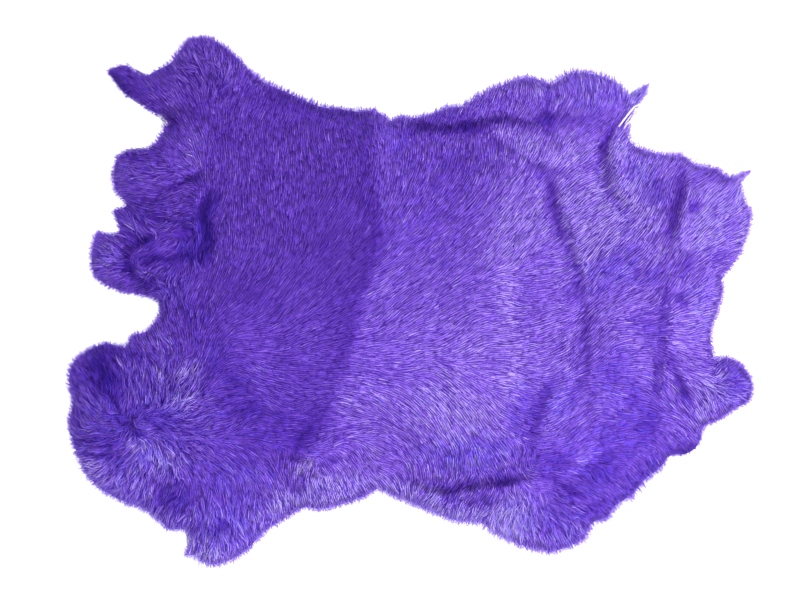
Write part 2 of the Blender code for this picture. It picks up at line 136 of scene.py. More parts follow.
# Ridges and troughs of the lying skin. Columns: fold, height in mm at its line (a trough is
# below zero), half width in mm on the left and on the right of its line as its points run, how
# pointed it is across from 0 to 1, the share of the height by which the hide lifts, the change
# of tone at its line, which is painted shade in creases and troughs and painted light on lit
# ridges and edges, and the points of the line in mm.
FOLDS = (
    ("main fold", 7.5, 45, 72, 0.8, 0.55, 0, (
        (-24, 122), (-21, 89), (-20, 55), (-24, 19), (-33, -12), (-37, -35), (-46, -57),
        (-56, -81))),
    ("shade beside the main fold", 0, 3, 20, 0.1, 0, -0.07, (
        (-24, 122), (-22.5, 95), (-21, 78), (-20, 60), (-18.5, 45), (-19, 36), (-22, 22), (-26, 11),
        (-29.5, 0), (-34, -26), (-43.5, -53), (-49, -67), (-56, -80))),
    ("end of the main fold", -1, 9, 9, 0.1, 0, -0.1, (
        (-50, -60), (-55, -72), (-59, -82), (-65, -93), (-69, -104))),
    ("top crease", -3, 7, 6, 0.6, 0, -0.04, (
        (-8, 101), (9, 101), (26, 102), (40, 104), (51, 105.5), (61, 104.5), (71, 101))),
    ("dark line of the top crease", -1.2, 2.4, 2.6, 0.3, 0, -0.22, (
        (-5, 102.5), (8, 102.5), (18, 101.5), (28, 102), (36, 103), (43, 104.5))),
    ("its thin end", -1, 1.7, 1.7, 0.3, 0, -0.3, (
        (42, 104.5), (48, 106.3), (54, 107), (62, 105.3), (70, 102.5), (77, 99))),
    ("roll above the top crease", 2, 8, 8, 0, 0, 0, (
        (12, 108), (38, 114), (58, 119), (80, 116))),
    ("crease under the top crease", -0.8, 2.5, 2.5, 0.5, 0, -0.18, (
        (44, 98), (50, 93), (57, 88), (66, 82), (78, 77))),
    ("curl by the flank crease", -0.8, 1.8, 1.8, 0.3, 0, -0.28, (
        (81, 77), (85, 77), (89, 75.5), (94, 74))),
    ("shadow under the upper right lobe", -1.2, 4.5, 4.5, 0.2, 0, -0.13, (
        (66, 105), (75, 107.5), (84, 108.5), (95, 107), (108, 105.5), (119, 104))),
    ("notch in the top edge", -1, 3, 3, 0.5, 0, -0.2, (
        (80, 129), (80, 120), (78, 111))),
    ("bottom crease", -3.2, 8, 5, 0.6, 0, -0.06, (
        (1, -106), (22, -111), (38, -106), (60, -103), (80, -95))),
    ("dark line of the bottom crease", -1.2, 2.4, 2.4, 0.3, 0, -0.21, (
        (0, -106), (8, -107.5), (16, -108.5), (26, -109.5), (34, -107.5), (44, -106.5),
        (54, -105.5), (62, -103.5), (70, -101))),
    ("roll below the bottom crease", 2.2, 9, 9, 0, 0, 0, (
        (4, -114), (28, -120), (55, -118), (80, -114))),
    ("crease across the lower right lobe", -1, 3.5, 3.5, 0.4, 0, -0.22, (
        (76, -101), (85, -104), (93, -109), (101, -114))),
    ("crease by the torn edge", -2.4, 6, 5, 0.5, 0, -0.04, (
        (118, 104), (112, 92), (112, 81), (115, 67), (124, 56), (130, 49))),
    ("dark line of that crease", -1, 3, 3, 0.2, 0, -0.38, (
        (119, 103), (116, 99), (113.5, 95), (112, 90), (112.3, 84))),
    ("lower end of that crease", -0.8, 1.5, 1.5, 0.3, 0, -0.24, (
        (113.5, 77), (114.5, 71), (115.5, 66), (119, 61), (124, 56), (130, 52))),
    ("ridge beside that crease", 2.8, 9, 8, 0.3, 0, 0.07, (
        (127, 97), (120, 88), (120, 76), (125, 65))),
    ("upper right ridge", 3.4, 16, 11, 0.6, 0.4, 0.05, (
        (163, 78), (160, 58), (156, 40), (153, 26))),
    ("dark band left of that ridge", -1.4, 4.5, 6, 0.1, 0, -0.32, (
        (158, 80), (158, 71), (156.5, 63), (154, 55), (153, 47), (151.5, 40), (151, 33))),
    ("lower right ridge", 2.8, 13, 9, 0.6, 0, 0.04, (
        (152, 4), (150, -23), (147, -42), (144, -60))),
    ("dark line left of that ridge", -1, 2.4, 2.6, 0.2, 0, -0.31, (
        (149, 12), (148.5, 2), (147.5, -10), (147, -20), (146.5, -28), (146, -37))),
    ("its lower end", -1, 3.5, 4, 0.2, 0, -0.26, (
        (146, -31), (144.5, -40), (144, -48), (143, -57))),
    ("crease to the pocket by the hind foot", -1.2, 4, 4, 0.1, 0, -0.26, (
        (150, -28), (153, -37), (156.5, -46), (160, -54), (165, -62))),
    ("flank crease", -2.6, 18, 15, 0.6, 0, -0.03, (
        (74, 78), (84, 59), (90.5, 38), (94.5, 25), (100.5, 6), (103, -15), (104, -38))),
    ("dark band of the flank crease", -1, 3, 6.5, 0.2, 0, -0.32, (
        (80, 76), (82.5, 67), (83.5, 58), (86, 49), (87.5, 43), (90, 38), (92, 33))),
    ("its faint lower part", -0.6, 2, 2.5, 0.3, 0, -0.16, (
        (92, 32), (94, 25), (97, 17), (99, 9), (102, -2))),
    ("lit edge of the flank crease", 1.8, 9, 3, 0.3, 0, 0.16, (
        (86.5, 70), (89, 58), (92, 47), (96, 36), (99, 24), (103, 8))),
    ("lower flank crease", -1.2, 3, 4, 0.1, 0, -0.2, (
        (104, -4), (102, -16), (102.5, -28), (102, -40), (97, -52), (92, -60))),
    ("dark band to the bottom crease", -1.4, 4.5, 6.5, 0.2, 0, -0.28, (
        (85, -44), (78, -57), (75, -66), (73, -75), (69, -88))),
    ("crease of the upper left flap", -1.8, 6, 6, 0.2, 0, -0.04, (
        (-122, 72), (-137, 69), (-158, 55))),
    ("dark streak of the upper left whorl", -0.8, 2, 2, 0.4, 0, -0.24, (
        (-143, 65), (-136, 68), (-129, 73))),
    ("crease over the small flap", -1.4, 2.4, 2.4, 0.4, 0, -0.2, (
        (-167, 51), (-157, 50), (-148, 49), (-141, 47), (-132, 47))),
    ("crease of the lower left flap", -2.4, 6, 6, 0.3, 0, -0.13, (
        (-148, 36), (-158, 36), (-166, 30), (-165, 20), (-155, 11))),
    ("hollow behind the flaps", -1.4, 8, 5, 0.1, 0, -0.34, (
        (-111, 64), (-119, 61), (-122, 52), (-119, 41), (-119, 28))),
    ("dark band across the flaps", -1, 4, 4, 0.2, 0, -0.22, (
        (-158, 27), (-145, 26), (-132, 27), (-117, 28))),
    ("front leg ridge", 2.4, 9, 9, 0, 0, 0, (
        (-172, 133), (-158, 125), (-141, 119), (-126, 116))),
    ("belly dip", -2, 12, 12, 0, 0, 0, (
        (-62, -68), (-66, -84), (-70, -95))),
    ("curl under the rump whorl", -1.2, 1.8, 1.8, 0.4, 0, -0.26, (
        (-194, -88), (-184, -89), (-176, -89), (-168, -92))),
    ("shadow round the rump whorl", -1.4, 4.5, 4.5, 0.2, 0, -0.16, (
        (-178, -50), (-171, -60), (-170, -67), (-163, -73), (-157, -79))),
    ("dark streak right of the rump whorl", -0.6, 1.8, 1.8, 0.4, 0, -0.22, (
        (-153, -68), (-143, -73), (-133, -77))),
    ("second dark streak", -0.5, 1.6, 1.6, 0.4, 0, -0.16, (
        (-151, -74), (-140, -79), (-129, -85))),
)
FOLD_FADE_IN = 0.2
FOLD_FADE_OUT = 0.25
FOLD_LEAST = 0.35
LEAST_LIFT_MM = 0.5


def smooth_step(share):
    share = np.clip(share, 0.0, 1.0)
    return share * share * (3.0 - 2.0 * share)


def spline_through(knots, closed, step):
    """Points every step or less along a centripetal spline that runs through the knots."""
    count = len(knots)
    points = []
    for index in range(count if closed else count - 1):
        around = []
        for offset in (-1, 0, 1, 2):
            place = index + offset
            place = place % count if closed else min(max(place, 0), count - 1)
            around.append(np.array(knots[place], float))
        before, start, end, after = around
        gaps = [max(math.sqrt(np.linalg.norm(b - a)), 1e-6)
                for a, b in ((before, start), (start, end), (end, after))]
        t1 = gaps[0]
        t2 = t1 + gaps[1]
        t3 = t2 + gaps[2]
        parts = max(2, math.ceil(np.linalg.norm(end - start) / step))
        for part in range(parts):
            t = t1 + (t2 - t1) * part / parts
            a1 = (t1 - t) / t1 * before + t / t1 * start
            a2 = (t2 - t) / (t2 - t1) * start + (t - t1) / (t2 - t1) * end
            a3 = (t3 - t) / (t3 - t2) * end + (t - t2) / (t3 - t2) * after
            b1 = (t2 - t) / t2 * a1 + t / t2 * a2
            b2 = (t3 - t) / (t3 - t1) * a2 + (t - t1) / (t3 - t1) * a3
            points.append((t2 - t) / (t2 - t1) * b1 + (t - t1) / (t2 - t1) * b2)
    if not closed:
        points.append(np.array(knots[-1], float))
    return np.array(points)


def nearest(points, line, closed):
    """Each point's distance to the line, how far along it is nearest as a share, and the side
    of the line that it is on: above 0 on the left of the way that the points run."""
    start = line
    end = np.roll(line, -1, axis=0)
    if not closed:
        start = line[:-1]
        end = line[1:]
    along = end - start
    length = np.maximum((along ** 2).sum(1), 1e-9)
    found = []
    for block in np.array_split(points, max(1, len(points) * len(start) // 2000000)):
        gap = block[:, None, :] - start[None]
        share = np.clip((gap * along[None]).sum(2) / length, 0.0, 1.0)
        away = ((gap - share[..., None] * along[None]) ** 2).sum(2)
        pick = away.argmin(1)
        rows = np.arange(len(block))
        cross = along[pick, 0] * gap[rows, pick, 1] - along[pick, 1] * gap[rows, pick, 0]
        place = (pick + share[rows, pick]) / len(start)
        found.append(np.stack([np.sqrt(away[rows, pick]), place, np.sign(cross)]))
    return np.concatenate(found, axis=1)


def rim_line():
    """The smooth rim, with the reach and the number of wisps at each of its points."""
    knots = []
    sizes = []
    for stretch, reach, wisps, points in RIM:
        for point in points:
            knots.append(point)
            sizes.append((reach, wisps))
    line = spline_through(knots, True, RIM_STEP_MM)
    gaps = np.linalg.norm(line[:, None] - np.array(knots, float)[None], axis=2)
    return line, np.array(sizes, float)[gaps.argmin(1)]


def outward(line):
    """Unit vectors away from the skin at each point of its rim, which runs clockwise."""
    ahead = np.roll(line, -2, axis=0) - np.roll(line, 2, axis=0)
    ahead /= np.linalg.norm(ahead, axis=1)[:, None]
    return np.stack([-ahead[:, 1], ahead[:, 0]], axis=1)


def crossing(start, end, starts, ends):
    """Where each of the stretches from starts to ends crosses the one from start to end, as a
    share of the way along it, or -1 where they don't cross."""
    way = end - start
    ways = ends - starts
    gap = starts - start
    turn = way[0] * ways[:, 1] - way[1] * ways[:, 0]
    turn = np.where(np.abs(turn) < 1e-12, 1e-12, turn)
    along = (gap[:, 0] * ways[:, 1] - gap[:, 1] * ways[:, 0]) / turn
    other = (gap[:, 0] * way[1] - gap[:, 1] * way[0]) / turn
    return np.where((along > 0) & (along < 1) & (other > 0) & (other < 1), along, -1.0)


def without_loops(line, longest):
    """The line with each small loop where it crosses itself cut off at the crossing."""
    points = list(line)
    index = 0
    while index < len(points) - 3:
        last = min(index + longest, len(points) - 1)
        starts = np.array(points[index + 2:last])
        ends = np.array(points[index + 3:last + 1])
        if len(starts):
            along = crossing(points[index], points[index + 1], starts, ends)
            if along.max() > 0:
                found = int(np.flatnonzero(along > 0)[-1])
                cross = points[index] + along[found] * (points[index + 1] - points[index])
                points[index + 1:index + 3 + found] = [cross]
        index += 1
    return np.array(points)


def inset_line(line, inset):
    """The rim moved inwards, without the points that would cross over at tight places. It starts
    half way round, where the rim is smooth, so that no loop lies across its start."""
    moved = np.roll(line - inset * outward(line), len(line) // 2, axis=0)
    return without_loops(moved[nearest(moved, line, True)[0] > 0.9 * inset], LONGEST_LOOP)


def field_points():
    """The places of a fine grid over the whole skin, one row of cells after another."""
    x = np.arange(-FIELD_HALF_LENGTH_MM, FIELD_HALF_LENGTH_MM + FIELD_CELL_MM, FIELD_CELL_MM)
    y = np.arange(-FIELD_HALF_WIDTH_MM, FIELD_HALF_WIDTH_MM + FIELD_CELL_MM, FIELD_CELL_MM)
    grid = np.meshgrid(x, y)
    return np.stack([grid[0].ravel(), grid[1].ravel()], axis=1), (len(y), len(x))


def read_field(field, points):
    """The value of a field at each point, blended between the four nearest cells."""
    rows, columns = FIELD_SHAPE
    values = field.reshape(rows, columns, -1)
    across = np.clip((points[:, 0] + FIELD_HALF_LENGTH_MM) / FIELD_CELL_MM, 0, columns - 1.001)
    up = np.clip((points[:, 1] + FIELD_HALF_WIDTH_MM) / FIELD_CELL_MM, 0, rows - 1.001)
    i = across.astype(int)
    j = up.astype(int)
    u = (across - i)[:, None]
    v = (up - j)[:, None]
    low = values[j, i] * (1 - u) + values[j, i + 1] * u
    high = values[j + 1, i] * (1 - u) + values[j + 1, i + 1] * u
    read = low * (1 - v) + high * v
    return read[:, 0] if field.ndim == 1 else read


def fold_fields(points):
    """The rise of the fur, the lift of the hide and the painted shade and light of the folds."""
    upper = np.zeros(len(points))
    under = np.zeros(len(points))
    shade = np.zeros(len(points))
    for fold, height, left, right, pointed, lift, tone, line in FOLDS:
        path = spline_through(line, False, FIELD_CELL_MM)
        distance, place, side = nearest(points, path, False)
        width = np.where(side > 0, left, right)
        away = np.clip(distance / width, 0.0, 1.0)
        across = (1.0 - pointed) * (0.5 + 0.5 * np.cos(np.pi * away)) + pointed * (1.0 - away) ** 2
        ends = smooth_step(place / FOLD_FADE_IN) * smooth_step((1.0 - place) / FOLD_FADE_OUT)
        ends = np.maximum(ends, FOLD_LEAST)
        upper += height * across * ends
        under += lift * height * across * ends
        shade += tone * across * ends
    return upper, under, shade


def face_outwards(piece):
    """Turns the faces of a closed mesh outwards. The edit mode operator can turn one with deep
    bays inside out, so the sign of the volume decides."""
    shape = bmesh.new()
    shape.from_mesh(piece.data)
    bmesh.ops.recalc_face_normals(shape, faces=shape.faces)
    if shape.calc_volume(signed=True) < 0.0:
        bmesh.ops.reverse_faces(shape, faces=shape.faces)
    shape.to_mesh(piece.data)
    shape.free()


def select_only(piece):
    bpy.ops.object.select_all(action="DESELECT")
    piece.select_set(True)
    bpy.context.view_layer.objects.active = piece


def weld(threshold):
    """Joins the corners of the active piece that lie closer together than a threshold in mm."""
    bpy.ops.object.mode_set(mode="EDIT")
    bpy.ops.mesh.select_all(action="SELECT")
    bpy.ops.mesh.remove_doubles(threshold=threshold * MM)
    bpy.ops.object.mode_set(mode="OBJECT")


def cut_slab(name, line, cell):
    """A slab with square cells, cut to a closed line on the table, as a closed mesh."""
    bpy.ops.object.select_all(action="DESELECT")
    columns = math.ceil(SLAB_LENGTH_MM / cell)
    rows = math.ceil(SLAB_WIDTH_MM / cell)
    bpy.ops.mesh.primitive_grid_add(x_subdivisions=columns, y_subdivisions=rows, size=1.0)
    slab = bpy.context.active_object
    slab.name = name
    slab.data.name = name
    slab.scale = (columns * cell * MM, rows * cell * MM, 1.0)
    bpy.ops.object.transform_apply(location=False, rotation=False, scale=True)
    thick = slab.modifiers.new("thickness", "SOLIDIFY")
    thick.thickness = SLAB_THICKNESS_MM * MM
    thick.offset = 0.0
    bpy.ops.object.modifier_apply(modifier=thick.name)
    curve = bpy.data.curves.new("cutting_line", "CURVE")
    curve.dimensions = "2D"
    curve.fill_mode = "BOTH"
    curve.extrude = 2.0 * SLAB_THICKNESS_MM * MM
    spline = curve.splines.new("POLY")
    spline.points.add(len(line) - 1)
    for point, (x, y) in zip(spline.points, line):
        point.co = (x * MM, y * MM, 0.0, 1.0)
    spline.use_cyclic_u = True
    cutter = bpy.data.objects.new("cutting_line", curve)
    bpy.context.scene.collection.objects.link(cutter)
    select_only(cutter)
    bpy.ops.object.convert(target="MESH")
    cutter = bpy.context.active_object
    weld(FINE_WELD_MM)
    face_outwards(cutter)
    select_only(slab)
    cut = slab.modifiers.new("cut", "BOOLEAN")
    cut.operation = "INTERSECT"
    cut.solver = "EXACT"
    cut.object = cutter
    bpy.ops.object.modifier_apply(modifier=cut.name)
    bpy.data.objects.remove(cutter, do_unlink=True)
    bpy.ops.object.mode_set(mode="EDIT")
    bpy.ops.mesh.select_all(action="SELECT")
    bpy.ops.mesh.remove_doubles(threshold=WELD_MM * MM)
    bpy.ops.mesh.dissolve_degenerate(threshold=FINE_WELD_MM * MM)
    bpy.ops.mesh.select_all(action="SELECT")
    bpy.ops.mesh.quads_convert_to_tris()
    bpy.ops.object.mode_set(mode="OBJECT")
    face_outwards(slab)
    return slab


def mesh_points(mesh):
    points = np.empty(len(mesh.vertices) * 3)
    mesh.vertices.foreach_get("co", points)
    return points.reshape(-1, 3)


def set_heights(piece, upper, under):
    """Moves a slab's top and bottom to two fields of heights in mm, and shades it smooth."""
    points = mesh_points(piece.data)
    flat = points[:, :2] / MM
    top = read_field(upper, flat)
    bottom = read_field(under, flat)
    points[:, 2] = np.where(points[:, 2] > 0.0, top, bottom) * MM
    piece.data.vertices.foreach_set("co", points.ravel())
    piece.data.update()
    bpy.ops.object.shade_smooth_by_angle(angle=math.radians(SMOOTH_DEGREES))


def linear(code):
    """A linear colour from an sRGB hex code."""
    parts = [int(code[place:place + 2], 16) / 255 for place in (0, 2, 4)]
    return tuple(part / 12.92 if part <= 0.04045 else ((part + 0.055) / 1.055) ** 2.4
                 for part in parts) + (1.0,)


def new_material(name, roughness, **sockets):
    material = bpy.data.materials.new(name)
    material.use_nodes = True
    shader = material.node_tree.nodes["Principled BSDF"]
    shader.inputs["Roughness"].default_value = roughness
    for socket, value in sockets.items():
        shader.inputs[socket.replace("_", " ")].default_value = value
    return material, material.node_tree, shader


def add_node(tree, kind, settings=(), values=(), links=()):
    """Adds a node, with its settings by name, its inputs' values and the sockets that feed them."""
    node = tree.nodes.new(kind)
    for name, value in dict(settings).items():
        setattr(node, name, value)
    for name, value in dict(values).items():
        node.inputs[name].default_value = value
    for name, source in dict(links).items():
        tree.links.new(source, node.inputs[name])
    return node


def set_ramp(node, stops):
    """Gives a colour ramp its stops, as places and linear colours."""
    elements = node.color_ramp.elements
    while len(elements) < len(stops):
        elements.new(0.5)
    for element, (place, colour) in zip(elements, stops):
        element.position = place
        element.color = colour


rim, rim_sizes = rim_line()
FIELD_POINTS, FIELD_SHAPE = field_points()
rim_distance, rim_place, rim_side = nearest(FIELD_POINTS, rim, True)
# Above zero within the rim, below zero outside it.
depth_field = -rim_distance * rim_side
fold_field, lift_field, fold_painted_light_field = fold_fields(FIELD_POINTS)
hide_share = smooth_step(depth_field / HIDE_FADE_MM)
under_field = np.clip(lift_field - LEAST_LIFT_MM, 0.0, None) * hide_share

hide_edge = inset_line(rim, HIDE_INSET_MM)
hide = cut_slab("hide", hide_edge, HIDE_CELL_MM)
set_heights(hide, under_field + HIDE_MM, under_field)

# Suede of the flesh side: a soft matt nap with a fine grain and paler, drier patches.
suede, tree, shader = new_material("dyed_suede", 0.88, Sheen_Weight=0.25)
shader.inputs["Sheen Tint"].default_value = linear("D9CBEF")
place = add_node(tree, "ShaderNodeTexCoord").outputs["Object"]
patches = add_node(tree, "ShaderNodeTexNoise", values={"Scale": 28.0, "Detail": 4.0},
                   links={"Vector": place})
tint = add_node(tree, "ShaderNodeValToRGB", links={"Fac": patches.outputs["Fac"]})
set_ramp(tint, ((0.3, linear("9C86C8")), (0.7, linear("C3B3E2"))))
tree.links.new(tint.outputs["Color"], shader.inputs["Base Color"])
grain = add_node(tree, "ShaderNodeTexNoise", values={"Scale": 900.0, "Detail": 3.0},
                 links={"Vector": place})
nap = add_node(tree, "ShaderNodeBump", values={"Strength": 0.35, "Distance": 0.0003},
               links={"Height": grain.outputs["Fac"]})
tree.links.new(nap.outputs["Normal"], shader.inputs["Normal"])
hide.data.materials.clear()
hide.data.materials.append(suede)


# Underfur
# The short dense wool under the guard hairs, painted deep violet as shade because little light gets
# down to it.
# It is one thick soft layer on the hide, with the skin's folds, hollows and rolled lobes, and
# it shows only as the dark between the locks.

PILE_MM = 8.5
RIM_ROUNDING_MM = 17.0
RIM_HEIGHT_MM = 1.2
LEAST_PILE_MM = 2.6
UNDERFUR_CELL_MM = 3.0
UNDERFUR_INSET_MM = 1.0
LEAST_UNDERFUR_MM = 0.3
# How far the wool lies below the surface of the fur, where combed and where ruffled.
UNDERFUR_BELOW_MM = (0.35, 1.1)

# Hollows and fuller places. Columns: place, x, y, radius along x and along y, height, in mm.
SWELLS = (
    ("rump lobe", -165, -68, 46, 52, 5),
    ("rump whorl", -160, -75, 13, 9, -4),
    ("shadow on the rump lobe", -180, -45, 14, 10, -2.5),
    ("shoulder lobe", -124, 138, 24, 20, 2),
    ("upper left flap", -155, 74, 22, 16, 2.6),
    ("upper left whorl", -127, 75, 10, 8, -2.4),
    ("lower left flap", -176, 24, 14, 16, 2),
    ("pit of the lower left flap", -156, 10, 9, 6, -3),
    ("hollow behind the flaps", -125, 40, 16, 32, -3),
    ("lower left edge", -108, -128, 30, 24, 3),
    ("pocket by the lower left edge", -113, -134, 12, 7, -2.6),
    ("hind foot lobe", 186, -50, 16, 18, 2.8),
    ("lower right lobe", 84, -126, 40, 18, 2.4),
    ("shadow on the lower right lobe", 92, -112, 20, 9, -2.6),
    ("upper right lobe", 100, 120, 28, 14, 2),
    ("right pocket", 159, 3, 8, 7, -2.4),
    ("swell before the flank crease", 70, 42, 16, 30, 2),
    ("middle of the back", 30, -20, 60, 55, 1.4),
)

# The tones of the hair, which carry the dye and painted shade and light, from the deepest lock to
# the palest. Columns: tone, violet hair at its root and at its tip, and bluer hair at its root and
# at its tip. The roots are darker and the tips paler, partly by the dye and partly as painted
# shade at the roots and painted light on the tips.
HAIR_PALETTE = (
    (0.0, "2A1174", "341988", "26117E", "2E1996"),
    (0.25, "4C25A2", "6037B6", "4826B2", "5A38CC"),
    (0.5, "683FC0", "845BDA", "6040D0", "7A5CEA"),
    (0.75, "865DD8", "A784F0", "7E60E2", "9E86F8"),
    (1.0, "AA8CF0", "DAC9FE", "A08EF4", "CEC6FF"),
)

# Dyed hair is clear, so the dye tints its gloss too.
GLOSS = "8A6CE0"

# Lumps of the lying fur, drawn out along its lie. Columns: width and height in mm.
LUMPS = (
    (26, 2.2),
    (13, 1.3),
    (6, 1.1),
)
PATCH_MM = 9.0
COMB_SEED = 5
COMBED_MAP = "combed"
LUMP_RUN_MM = 22.0
LUMP_STEPS = 7
# Brings the noise to about -1 to 1. The turns take layers of it that the lumps don't use.
NOISE_GAIN = 1.6
TURN_LAYER = 20
# How far the map is shifted from patch to patch, at most.
MAP_SHIFT_MM = 500.0
# How steep the edges of the places are, and the least and most smoothness.
PLACE_EDGE = 1.25
SMOOTH_LIMITS = (-0.5, 0.6)
# Lumps and turns of the hair, as shares of their sizes, where it is combed and where it is ruffled.
LUMP_SHARES = (0.4, 1.1)
TURN_SHARES = (0.35, 1.2)

# The half of the skin on the far side of the main fold from the light is painted in shade, as a
# darker tone of the hair, across a line that is soft at the top edge and sharp lower down.
SHADE_LINE = (
    (-24, 135), (-24, 112), (-22.5, 95), (-21, 78), (-19.5, 60), (-17, 47), (-16, 36), (-18.5, 22),
    (-23, 11), (-27.5, 0), (-30, -12), (-32, -26), (-36.5, -40), (-42, -53), (-48, -67),
    (-55, -80), (-64, -92), (-74, -103), (-88, -116), (-106, -132), (-125, -155))
# The width of the edge of the shade in mm. Columns: share of the way down the line, width.
SHADE_WIDTHS = (
    (0.0, 11.0),
    (0.3, 11.0),
    (0.36, 16.0),
    (0.45, 9.0),
    (0.58, 10.0),
    (0.66, 18.0),
    (0.73, 36.0),
    (0.8, 70.0),
    (1.0, 140.0),
)
LIT_TONE = 0.51
SHADED_TONE = 0.335
RUFFLED_TONE = 0.06
